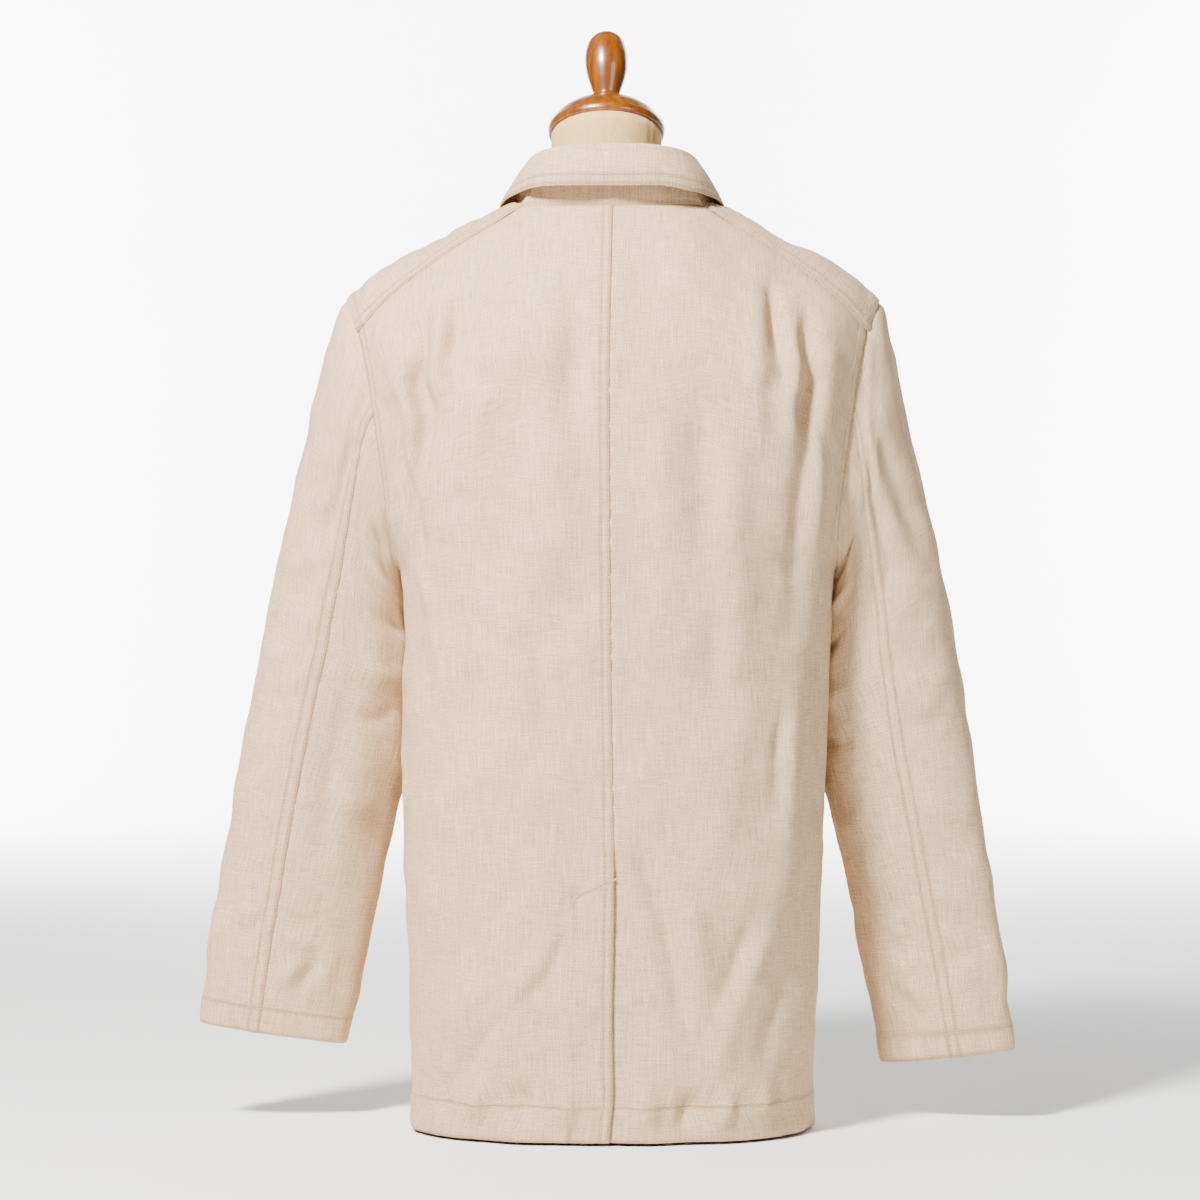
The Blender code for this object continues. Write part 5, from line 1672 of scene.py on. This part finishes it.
def sew_vent(sheet, thread):
    """Sews both rows of the vent, and a bar tack at each end of the slanting one."""
    line, line_out = sheet.inset("left", VENT_ROW, 0.0, 0.30)
    count = int(numpy.searchsorted(line[:, 2], VENT_SLANT_LOW_Z))
    thread.row((line[:count], line_out[:count]))
    low, low_out = line[count - 1], line_out[count - 1]
    edge, edge_out = sheet.inset("left", ROW_IN, 0.0, 0.40)
    spot = int(numpy.searchsorted(edge[:, 2], VENT_SLANT_HIGH_Z))
    high, high_out = edge[spot], edge_out[spot]
    span = numpy.linspace(0.0, 1.0, 14)[:, None]
    thread.row((low * (1 - span) + high * span, low_out * (1 - span) + high_out * span))
    half = (high - low) / numpy.linalg.norm(high - low) * VENT_TACK_HALF
    for place, out in ((low, low_out), (high, high_out)):
        thread.tack(place - half, place + half, out)


def dress_back(side, strength):
    """A back with its seams and hem; the wearer's left one also has the vent's stitches."""
    word = side_word(side)
    sheet = cut_sheet(lambda u, v: back_spot(side, u, v), BACK_GRID, -side)
    creases = BACK_LEFT_CREASES if side > 0 else BACK_RIGHT_CREASES
    waves = ((11 + side, 0.085, 0.0009), (31 + side, 0.034, 0.00030))
    sheet.crumple(creases, strength, waves, ("left", "right", "top"))
    shoulder = smooth_step((sheet.across - NECK_COLUMN_SHARE) / 0.03)[None, :]
    armhole = smooth_step((sheet.bottom - ARMHOLE_START) / ARMHOLE_FADE)
    if side > 0:
        sheet.fell("left", FELL, 0.0006, 5)
        sheet.groove("left", ROW_IN)
        sheet.groove("left", FELL - 0.0012)
    else:
        sheet.sink("left", 0.0007, 0.0030)
    sheet.fell("right", FELL, 0.0008, 7, armhole, 0.0)
    sheet.groove("right", FELL - 0.0010, GROOVE, armhole, 0.605, 0.99)
    sheet.fell("bottom", HEM_TURN, 0.0006, 9)
    sheet.groove("bottom", HEM_TURN - TURN_ROW_IN)
    sheet.sink("top", 0.0016, 0.005, shoulder)
    sheet.sink("top", -0.0004, 0.006, 1.0 - shoulder)
    sheet.press(row_mask(sheet.top, 0.0, 0.0022) * (1.0 - shoulder), 0.0003)
    sheet.press(row_mask(sheet.right, 0.0, 0.0026) * armhole, 0.0006)
    if side > 0:
        press_vent(sheet)
    sheet.lift()
    thread = Thread()
    sheet.sew(thread)
    if side > 0:
        sew_vent(sheet, thread)
    thread.build("stitches_back_" + word)
    sheet.tuck("top", 0.0002 + 0.0058 * shoulder[0], 0.0012)
    if side < 0:
        sheet.tuck("left", 0.0035, 0.0007)
    add_cloth("cloth_back_" + word, sheet, "back_" + word, flip=side > 0)


def dress_underlap():
    """The vent's underlap, which lies below the wearer's left back."""
    across = numpy.linspace(0.0, 1.0, 18)
    up = numpy.linspace(0.0, 1.0, 80)
    sheet = Sheet(fine_points(underlap_spot, (6, 14), across, up), 1)
    sheet.height -= 0.0012
    sheet.fell("bottom", HEM_TURN, 0.0005, 19)
    sheet.lift()
    add_cloth("cloth_vent_underlap", sheet, None, flip=True)


def sew_buttonholes(sheet, thread):
    """Sews two close rows across the front's edge for each buttonhole."""
    edge, out = sheet.inset("left", BUTTONHOLE_START)
    inner, _ = sheet.inset("left", BUTTONHOLE_END)
    for number in range(BUTTON_COUNT):
        z = BUTTON_TOP_Z - BUTTON_PITCH * number
        spot = int(numpy.argmin(abs(edge[:, 2] - z)))
        for shift in (-BUTTONHOLE_HALF, BUTTONHOLE_HALF):
            up_by = numpy.array((0.0, 0.0, shift))
            thread.tack(edge[spot] + up_by, inner[spot] + up_by, out[spot], 0.0020)


def dress_front(side, strength):
    """A front with its facing's rows, its seams and hem, its buttonholes and its pocket."""
    word = side_word(side)
    sheet = cut_sheet(lambda u, v: front_spot_at(side, u, v), FRONT_GRID, side)
    waves = ((51 + side, 0.080, 0.0009), (71 + side, 0.034, 0.0003))
    share = 1.0 if side > 0 else 0.9
    sheet.crumple(FRONT_CREASES, strength, waves, ("right", "top"), share=share)
    above = smooth_step((sheet.bottom - ARMHOLE_START) / ARMHOLE_FADE)
    sheet.fell("left", FACING, 0.0006, 53)
    sheet.groove("left", 0.0018, FINE_GROOVE, 1.0, 0.0, 0.72)
    sheet.groove("left", FACING - TURN_ROW_IN, FINE_GROOVE, 1.0, 0.0, 0.70)
    sheet.fell("right", FELL, 0.0008, 57, above, 0.0)
    sheet.groove("right", FELL - 0.0010, GROOVE, above, 0.545, 0.99)
    sheet.fell("bottom", HEM_TURN, 0.0006, 59)
    sheet.groove("bottom", HEM_TURN - TURN_ROW_IN)
    sheet.fell("top", FELL, 0.0007, 61)
    sheet.groove("top", ROW_IN)
    sheet.groove("top", FELL - 0.0010)
    sheet.sink("right", 0.0006, 0.004, 1.0 - above)
    sheet.lift()
    thread = Thread()
    sheet.sew(thread)
    if side > 0:
        sew_buttonholes(sheet, thread)
    thread.build("stitches_front_" + word)
    dress_pocket(side, sheet)
    up = numpy.linspace(0.0, 1.0, sheet.left.shape[0])
    low_side = 1.0 - smooth_step((up - FRONT_SPLIT) / 0.02)
    sheet.tuck("right", 0.0002 + 0.0040 * low_side, 0.0010)
    add_cloth("cloth_front_" + word, sheet, "front_" + word, flip=side < 0)


def dress_pocket(side, front):
    """A patch pocket, taken from the front's own points and moved out."""
    word = side_word(side)
    low_u, high_u = POCKET_ACROSS
    low_v, high_v = [
        (z - HEM_Z) / (UNDERARM_Z - HEM_Z) * FRONT_SPLIT for z in POCKET_HEIGHTS]
    rows, columns = 90, 74
    points = numpy.zeros((rows, columns, 3))
    for j in range(rows):
        b = j / (rows - 1)
        short = 0.0
        left = POCKET_CORNER - b * POCKET_TALL
        if left > 0:
            short = POCKET_CORNER - (POCKET_CORNER ** 2 - left ** 2) ** 0.5
        for i in range(columns):
            a = i / (columns - 1)
            a = 0.5 + (a - 0.5) * (1.0 - 2 * short / POCKET_WIDTH)
            point, out = front.at(blend(low_u, high_u, a), blend(low_v, high_v, b))
            puff = 0.0012 * sin(pi * a) * sin(pi * min(b, 0.8) / 0.8)
            points[j, i] = point + out * (0.0017 + puff)
    sheet = Sheet(points, side)
    edge = numpy.minimum(numpy.minimum(sheet.left, sheet.right), sheet.bottom)
    for depth in POCKET_ROWS:
        sheet.press(row_mask(edge, depth), FINE_GROOVE)
    sheet.fell("top", POCKET_HEM, 0.0007, 83)
    sheet.groove("top", POCKET_HEM - 0.0012, FINE_GROOVE)
    sheet.lift()
    add_cloth(
        "cloth_pocket_" + word, sheet, "pocket_hip_" + word,
        flip=side < 0)
    thread = Thread()
    for depth in POCKET_ROWS:
        for side_edge in ("left", "right", "bottom"):
            thread.row(sheet.inset(side_edge, depth))
    sheet.sew(thread)
    thread.build("stitches_pocket_" + word)


def dress_sleeve(side, top, strength):
    """A top or an under sleeve with its cuff's hem and its seams."""
    word = side_word(side)
    spot = top_sleeve_spot if top else under_sleeve_spot
    grid = TOP_SLEEVE_GRID if top else UNDER_SLEEVE_GRID
    sheet = cut_sheet(lambda u, v: spot(side, u, v), grid, -side if top else side, 0.5)
    creases = TOP_SLEEVE_CREASES if top else UNDER_SLEEVE_CREASES
    seed = 101 + side + (10 if top else 0)
    waves = ((seed, 0.070, 0.0006), (seed + 40, 0.030, 0.00026))
    sheet.crumple(creases, strength, waves, ("left", "right", "top"), SLEEVE_SEWN_REACH)
    sheet.sink("top", 0.0008, 0.005)
    sheet.fell("bottom", CUFF_TURN, 0.0006, seed)
    sheet.groove("bottom", CUFF_TURN - TURN_ROW_IN)
    if top:
        sheet.fell("left", FELL + 0.0020, 0.0006, seed + 3)
        for distance in (ROW_IN, FELL + 0.0008):
            sheet.groove("left", distance, GROOVE, 1.0, 0.0, 0.985)
        sheet.fell("right", 0.004, 0.0006, seed + 5)
        sheet.groove("right", ROW_IN, FINE_GROOVE, 1.0, 0.0, 0.985)
    else:
        sheet.sink("left", 0.0007, 0.003)
        sheet.sink("right", 0.0007, 0.003)
    sheet.lift()
    kind = "top_sleeve_" if top else "under_sleeve_"
    thread = Thread()
    sheet.sew(thread)
    if top and side < 0:
        # a bar tack across the seam's upper end, on the wearer's right alone
        start, out = [a[-1] for a in sheet.inset("left", 0.001, 0.0, 0.975)]
        end = sheet.inset("left", 0.0085, 0.0, 0.975)[0][-1]
        thread.tack(start, end, out)
    thread.build("stitches_" + kind + word)
    if not top:
        sheet.tuck("left", 0.0035, 0.0006)
        sheet.tuck("right", 0.0035, 0.0006)
    add_cloth(
        "cloth_" + kind + word, sheet, kind + word,
        flip=(side > 0) == top)


def collar_rows():
    """Closely spaced sections of the collar on the panels' true neck edges."""
    chains = {}
    back_count = 12
    front_count = 40
    low = FRONT_SPLIT + (1.0 - FRONT_SPLIT) * FRONT_RIDGE * ARMHOLE_SHARES[NECK_CORNER_STEP]
    for side in (-1, 1):
        back = [
            back_spot(side, NECK_COLUMN_SHARE * i / back_count, 1.0)
            for i in range(back_count + 1)]
        front = [
            front_spot_at(side, 0.0, blend(1.0, low, i / front_count))
            for i in range(front_count)]
        chains[side] = back + front + [body_at(side, -1, 0.0, NECK_FRONT_Z)]
    return [
        collar_section(2 * COLLAR_STEPS_EACH_SIDE * number / COLLAR_SECTIONS, chains)
        for number in range(COLLAR_SECTIONS + 1)]


def dress_collar(strength):
    """The collar's stand, sewn to the neck, and its fall with two rows round the leaf."""
    sections = collar_rows()
    points = fine_points(
        lambda u, v: stand_spot(sections, u, v), (COLLAR_SECTIONS + 1, 8),
        numpy.linspace(0.0, 1.0, 180), numpy.linspace(0.0, 1.0, 30))
    stand = Sheet(points, 1, 0.5)
    stand.height += ripples(stand.left, stand.bottom, 201, 0.060, 0.0003 * strength)
    stand.groove("bottom", 0.0048, FINE_GROOVE, 1.0, 0.01, 0.99)
    stand.lift()
    add_cloth(
        "cloth_collar_stand", stand, "collar_stand",
        flip=True)
    fall = cut_sheet(lambda u, v: fall_spot(sections, u, v), FALL_GRID, 1, 0.5)
    leaf = smooth_step((fall.bottom - LEAF_START) / 0.02)
    fall.height += ripples(fall.left, fall.bottom, 211, 0.075, 0.0006 * strength) * leaf
    for edge, where, start, end in (
            ("top", 1.0, 0.01, 0.99), ("left", fall.bottom >= LEAF_START, 0.22, 0.97),
            ("right", fall.bottom >= LEAF_START, 0.22, 0.97)):
        for groove_at, row_at in ((0.0022, 0.0020), (LEAF_ROW, LEAF_ROW)):
            fall.press(row_mask(getattr(fall, edge), groove_at) * where, FINE_GROOVE)
            fall.rows.append((edge, row_at, start, end))
    fall.height += 0.00035 * (1.0 - smooth_step((fall.top - LEAF_ROW) / 0.0015))
    fall.height -= 0.0004 * smooth_step(1.0 - fall.top / 0.0014)
    fall.lift()
    add_cloth("cloth_collar_fall", fall, "collar_fall", flip=True)
    thread = Thread()
    stand.sew(thread)
    fall.sew(thread)
    thread.build("stitches_collar")


def spun(name, profile, place, material, steps=96):
    """A turned solid from (radius, height) pairs, put straight where it stands."""
    bm = bmesh.new()
    corners = [bm.verts.new((radius, 0.0, height)) for radius, height in profile]
    edges = [bm.edges.new(pair) for pair in zip(corners, corners[1:])]
    bmesh.ops.spin(
        bm, geom=corners + edges, cent=(0, 0, 0), axis=(0, 0, 1), angle=2 * pi, steps=steps,
        use_merge=True)
    bmesh.ops.remove_doubles(bm, verts=bm.verts, dist=0.00002)
    bmesh.ops.recalc_face_normals(bm, faces=bm.faces)
    bmesh.ops.transform(bm, matrix=place, verts=bm.verts)
    mesh = bpy.data.meshes.new(name)
    bm.to_mesh(mesh)
    bm.free()
    mesh.shade_smooth()
    mesh.set_sharp_from_angle(angle=radians(48.0))
    return add_object(name, mesh, material)


def smooth_profile(rows, height, fine):
    """A profile's (radius, height) pairs along a smooth curve through its rows."""
    spots = numpy.array([(row.radius, row.height * height) for row in rows])
    weights = cubic_weights(len(spots), numpy.linspace(0.0, 1.0, fine))
    return [(max(r, 0.0), z) for r, z in (weights @ spots)]


def dress_form_top():
    """The wooden cap and finial, and the foot's wood."""
    wood = look("wood")
    parts = (
        ("wood_neck_cap", "form_neck_cap", WOOD_LIFT, 96,
         [*smooth_profile(CAP_PROFILE, CAP_HEIGHT, 40), *CAP_LIP]),
        ("wood_finial", "form_finial", WOOD_LIFT + CAP_HEIGHT + 0.0001, 64,
         [*smooth_profile(FINIAL_PROFILE, FINIAL_HEIGHT, 60), *FINIAL_COLLAR]))
    for name, node, lift, steps, profile in parts:
        place = neck_frame() @ Matrix.Translation(Vector((0.0, 0.0, lift)))
        made = spun(name, profile, place, wood, steps)
        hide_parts(node)
    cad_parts["form_foot"].material_slots[0].material = wood


def form_spot(u, v):
    """A place on the form: u round it from the middle of the back, v up it."""
    z = blend(FORM[0].z, FORM[-1].z, v)
    heading = 2 * pi * u
    radius = form_radius(heading, z)
    raised = ease((z - FORM_TILT_START_Z) / (FORM_NECK_Z - FORM_TILT_START_Z))
    offset = CENTRE_X * ease((FORM_TILT_START_Z - z) / 0.06)
    y = radius * cos(heading)
    return Vector((offset + radius * sin(heading), y, z + y * tan(FORM_NECK_TILT) * raised))


def dress_form_body():
    """The form's cloth cover with its seams, sunk a little below the collar."""
    round_u = numpy.linspace(0.0, 1.0, 121)
    points = fine_points(form_spot, (49, 60), round_u, numpy.linspace(0.0, 1.0, 150))
    sheet = Sheet(points, -1)
    for place in COVER_SEAMS:
        away = abs(round_u[None, :] - place) * sheet.left[:, -1:]
        sheet.height -= 0.0007 * numpy.exp(-(away / 0.0012) ** 2)
    sheet.height -= COVER_SUNK * smooth_step((COVER_SUNK_Z - points[:, :, 2]) / 0.03)
    sheet.lift()
    closed = sheet.points
    closed[:, -1] = closed[:, 0]
    uv = numpy.stack((sheet.left, sheet.bottom), axis=2)
    mesh = grid_mesh("form_cover", closed, uv)
    bm = bmesh.new()
    bm.from_mesh(mesh)
    bmesh.ops.remove_doubles(bm, verts=bm.verts, dist=0.00003)
    bmesh.ops.holes_fill(bm, edges=bm.edges, sides=0)
    bmesh.ops.recalc_face_normals(bm, faces=bm.faces)
    bm.to_mesh(mesh)
    bm.free()
    mesh.shade_smooth()
    made = add_object("form_cover", mesh, look("cover"))
    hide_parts("form_torso")


def button_place(solid):
    """The frame that a solid button's back lies in, and its way out of the cloth."""
    corners = numpy.zeros(len(solid.data.vertices) * 3)
    solid.data.vertices.foreach_get("co", corners)
    corners = corners.reshape(-1, 3)
    middle = corners.mean(axis=0)
    _, _, axes = numpy.linalg.svd(corners - middle)
    out = Vector((axes[2] if axes[2][1] < 0 else -axes[2]).tolist())
    middle = Vector(middle.tolist())
    low = min((Vector(corner) - middle).dot(out) for corner in corners.tolist())
    seat = middle + out * low
    return Matrix.Translation(seat) @ out.to_track_quat("Z", "Y").to_matrix().to_4x4(), out


def drill(made, place):
    """Cuts the four thread holes into a button."""
    cutters = bmesh.new()
    for k in range(4):
        heading = pi / 4 + k * pi / 2
        spot = Vector((BUTTON_HOLE_OUT * cos(heading), BUTTON_HOLE_OUT * sin(heading), 0.0016))
        bmesh.ops.create_cone(
            cutters, cap_ends=True, segments=16, radius1=BUTTON_HOLE, radius2=BUTTON_HOLE,
            depth=0.006, matrix=place @ Matrix.Translation(spot))
    mesh = bpy.data.meshes.new("holes")
    cutters.to_mesh(mesh)
    cutters.free()
    cutter = bpy.data.objects.new("holes", mesh)
    collection().objects.link(cutter)
    cut = made.modifiers.new("holes", "BOOLEAN")
    cut.operation = "DIFFERENCE"
    cut.object = cutter
    depsgraph = bpy.context.evaluated_depsgraph_get()
    finished = bpy.data.meshes.new_from_object(made.evaluated_get(depsgraph))
    made.modifiers.clear()
    made.data = finished
    bpy.data.objects.remove(cutter, do_unlink=True)


def dress_buttons():
    """Four-hole buttons with a dished face and their thread."""
    for number in range(BUTTON_COUNT):
        node = "button_%d" % (number + 1)
        place, out = button_place(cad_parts[node])
        made = spun("horn_" + node, BUTTON_PROFILE, place, look("horn"), 48)
        drill(made, place)
        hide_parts(node)
        thread = Thread()
        way = numpy.array(place.to_3x3() @ Vector((1.0, 0.0, 0.0)))
        for offset in (-0.0015, 0.0015):
            for lane in (-0.0003, 0.0003):
                spot = numpy.array(place @ Vector((0.0, offset + lane, 0.0023)))
                thread.stitch(spot, way, numpy.array(out), BUTTON_STITCH, BUTTON_THREAD)
        thread.build("thread_" + node)


# ------------------------------------------------------------------------- stage


def add_floor():
    """A pale floor that curves up behind the jacket's front."""
    near, far, rise = 4.6, -6.5, 2.0
    bend = 12
    path = [(near, 0.0), (far + rise, 0.0)]
    for k in range(1, bend + 1):
        turn = pi / 2 * k / bend
        path.append((far + rise - rise * sin(turn), rise - rise * cos(turn)))
    path.append((far, 7.0))
    bm = bmesh.new()
    bmesh.ops.create_grid(bm, x_segments=1, y_segments=len(path) - 1, size=1.0)
    for vertex in bm.verts:
        row = round((vertex.co.y + 1.0) / 2 * (len(path) - 1))
        vertex.co = (vertex.co.x * FLOOR_HALF, path[row][0], path[row][1])
    bmesh.ops.recalc_face_normals(bm, faces=bm.faces)
    mesh = bpy.data.meshes.new("studio_floor")
    bm.to_mesh(mesh)
    bm.free()
    mesh.shade_smooth()
    mesh.materials.append(look("floor"))
    floor = bpy.data.objects.new("studio_floor", mesh)
    bpy.context.scene.collection.objects.link(floor)


def add_light(name, spot, aim, size, power, colour):
    """A round soft light at a spot, turned to its aim."""
    data = bpy.data.lights.new(name, "AREA")
    data.shape = "DISK"
    data.size = size
    data.energy = power
    data.color = colour
    light = bpy.data.objects.new(name, data)
    light.location = spot
    toward = Vector(aim) - Vector(spot)
    light.rotation_euler = toward.to_track_quat("-Z", "Y").to_euler()
    bpy.context.scene.collection.objects.link(light)


def add_stage(key, fill, backdrop):
    """The floor, a soft key light, two fills, the backdrop's lights and the camera."""
    add_floor()
    white = (1.0, 1.0, 1.0)
    add_light("key_light", (1.00, 1.60, 2.15), (0.05, 0.0, 0.74), 0.5, key, (1.0, 0.985, 0.96))
    add_light("fill_light", (-2.0, 2.4, 1.6), (0.0, 0.0, 0.60), 1.4, fill, (0.97, 0.985, 1.0))
    add_light("front_light", (-1.7, -2.3, 1.9), (0.0, 0.0, 0.50), 1.4, fill * 1.5, white)
    for word, side in (("left", 1), ("right", -1)):
        add_light(
            "backdrop_light_" + word, (side * 2.8, -4.0, 1.6), (side * 0.3, -6.4, 0.9), 1.8,
            backdrop, white)
    world = bpy.data.worlds.new("studio")
    world.use_nodes = True
    set_inputs(world.node_tree.nodes["Background"], Color=(*white, 1.0), Strength=WORLD_LIGHT)
    bpy.context.scene.world = world
    data = bpy.data.cameras.new("camera")
    data.lens = CAMERA_LENS
    data.sensor_width = 36.0
    camera = bpy.data.objects.new("camera", data)
    camera.location = (CAMERA_X, CAMERA_DISTANCE, CAMERA_HEIGHT)
    camera.rotation_euler = (radians(90.0), 0.0, radians(180.0))
    bpy.context.scene.collection.objects.link(camera)
    bpy.context.scene.camera = camera


# --------------------------------------------------------------------- operators


class ChoreJacketSettings(bpy.types.PropertyGroup):
    """The sizes, colours and lights that the dressing may be changed by."""

    cloth_thickness: bpy.props.FloatProperty(
        name="Cloth thickness", description="How thick the folded linen is",
        default=CLOTH, min=0.0005, max=0.0025, unit="LENGTH")
    stitch_pitch: bpy.props.FloatProperty(
        name="Stitch pitch", description="From the start of one stitch to the next",
        default=0.0029, min=0.0015, max=0.006, unit="LENGTH")
    thread_radius: bpy.props.FloatProperty(
        name="Thread radius", description="Half the thickness of the sewing thread",
        default=0.00036, min=0.0001, max=0.0006, unit="LENGTH")
    linen_dark: bpy.props.FloatVectorProperty(
        name="Dark linen", description="Colour of the linen's darkest yarns",
        default=(0.29, 0.178, 0.088), min=0.0, max=1.0, subtype="COLOR")
    linen_light: bpy.props.FloatVectorProperty(
        name="Light linen", description="Colour of the linen's lightest yarns",
        default=(0.84, 0.600, 0.370), min=0.0, max=1.0, subtype="COLOR")
    cover_dark: bpy.props.FloatVectorProperty(
        name="Dark cover", description="Colour of the dress form's darkest yarns",
        default=(0.50, 0.31, 0.11), min=0.0, max=1.0, subtype="COLOR")
    cover_light: bpy.props.FloatVectorProperty(
        name="Light cover", description="Colour of the dress form's lightest yarns",
        default=(0.74, 0.51, 0.23), min=0.0, max=1.0, subtype="COLOR")
    crease_strength: bpy.props.FloatProperty(
        name="Crease strength", description="How deep the creases and ripples are",
        default=1.65, min=0.0, max=3.0)
    key_power: bpy.props.FloatProperty(
        name="Key light", description="Power of the soft light on the wearer's left",
        default=262.0, min=0.0, unit="POWER")
    fill_power: bpy.props.FloatProperty(
        name="Fill light", description="Power of the softer light on the wearer's right",
        default=26.0, min=0.0, unit="POWER")
    backdrop_power: bpy.props.FloatProperty(
        name="Backdrop lights", description="Power of each light on the pale backdrop",
        default=760.0, min=0.0, unit="POWER")


def settings():
    """The sizes, colours and lights as they are set in the sidebar."""
    return bpy.context.scene.chore_jacket


class CHORE_OT_backs(bpy.types.Operator):
    """Adds the two backs, the vent's underlap and their stitches"""

    bl_idname = "chore.add_backs"
    bl_label = "Backs"

    def execute(self, context):
        for side in (1, -1):
            dress_back(side, settings().crease_strength)
        dress_underlap()
        return {"FINISHED"}


class CHORE_OT_fronts(bpy.types.Operator):
    """Adds the two fronts, their patch pockets and their stitches"""

    bl_idname = "chore.add_fronts"
    bl_label = "Fronts and pockets"

    def execute(self, context):
        for side in (1, -1):
            dress_front(side, settings().crease_strength)
        return {"FINISHED"}


class CHORE_OT_sleeves(bpy.types.Operator):
    """Adds the top and under sleeves and their stitches"""

    bl_idname = "chore.add_sleeves"
    bl_label = "Sleeves"

    def execute(self, context):
        for side in (1, -1):
            for top in (True, False):
                dress_sleeve(side, top, settings().crease_strength)
        return {"FINISHED"}


class CHORE_OT_collar(bpy.types.Operator):
    """Adds the collar's stand and fall and their stitches"""

    bl_idname = "chore.add_collar"
    bl_label = "Collar"

    def execute(self, context):
        dress_collar(settings().crease_strength)
        return {"FINISHED"}


class CHORE_OT_buttons(bpy.types.Operator):
    """Adds the buttons and the thread that holds them"""

    bl_idname = "chore.add_buttons"
    bl_label = "Buttons"

    def execute(self, context):
        dress_buttons()
        return {"FINISHED"}


class CHORE_OT_form(bpy.types.Operator):
    """Adds the dress form's cover, wooden cap and finial"""

    bl_idname = "chore.add_form"
    bl_label = "Dress form"

    def execute(self, context):
        dress_form_body()
        dress_form_top()
        return {"FINISHED"}


class CHORE_OT_stage(bpy.types.Operator):
    """Adds the floor, the lights and the camera"""

    bl_idname = "chore.add_stage"
    bl_label = "Stage"

    def execute(self, context):
        add_stage(settings().key_power, settings().fill_power, settings().backdrop_power)
        return {"FINISHED"}


OPERATORS = (
    CHORE_OT_backs, CHORE_OT_fronts, CHORE_OT_sleeves, CHORE_OT_collar,
    CHORE_OT_buttons, CHORE_OT_form, CHORE_OT_stage)


class CHORE_PT_panel(bpy.types.Panel):
    """Lists the settings and the pieces"""

    bl_idname = "CHORE_PT_panel"
    bl_label = "Chore jacket"
    bl_space_type = "VIEW_3D"
    bl_region_type = "UI"
    bl_category = "Jacket"

    def draw(self, context):
        for name in ChoreJacketSettings.__annotations__:
            self.layout.prop(context.scene.chore_jacket, name)
        for operator in OPERATORS:
            self.layout.operator(operator.bl_idname)


CLASSES = (ChoreJacketSettings,) + OPERATORS + (CHORE_PT_panel,)


def register():
    """Registers the settings, the operators and the panel."""
    for cls in CLASSES:
        bpy.utils.register_class(cls)
    bpy.types.Scene.chore_jacket = bpy.props.PointerProperty(type=ChoreJacketSettings)


def unregister():
    """Undoes register()."""
    del bpy.types.Scene.chore_jacket
    for cls in reversed(CLASSES):
        bpy.utils.unregister_class(cls)


def main():
    """Dresses the jacket on its stage."""
    register()
    bpy.ops.chore.add_stage()
    bpy.ops.chore.add_backs()
    bpy.ops.chore.add_fronts()
    bpy.ops.chore.add_sleeves()
    bpy.ops.chore.add_collar()
    bpy.ops.chore.add_buttons()
    bpy.ops.chore.add_form()


if __name__ == "__main__":
    main()
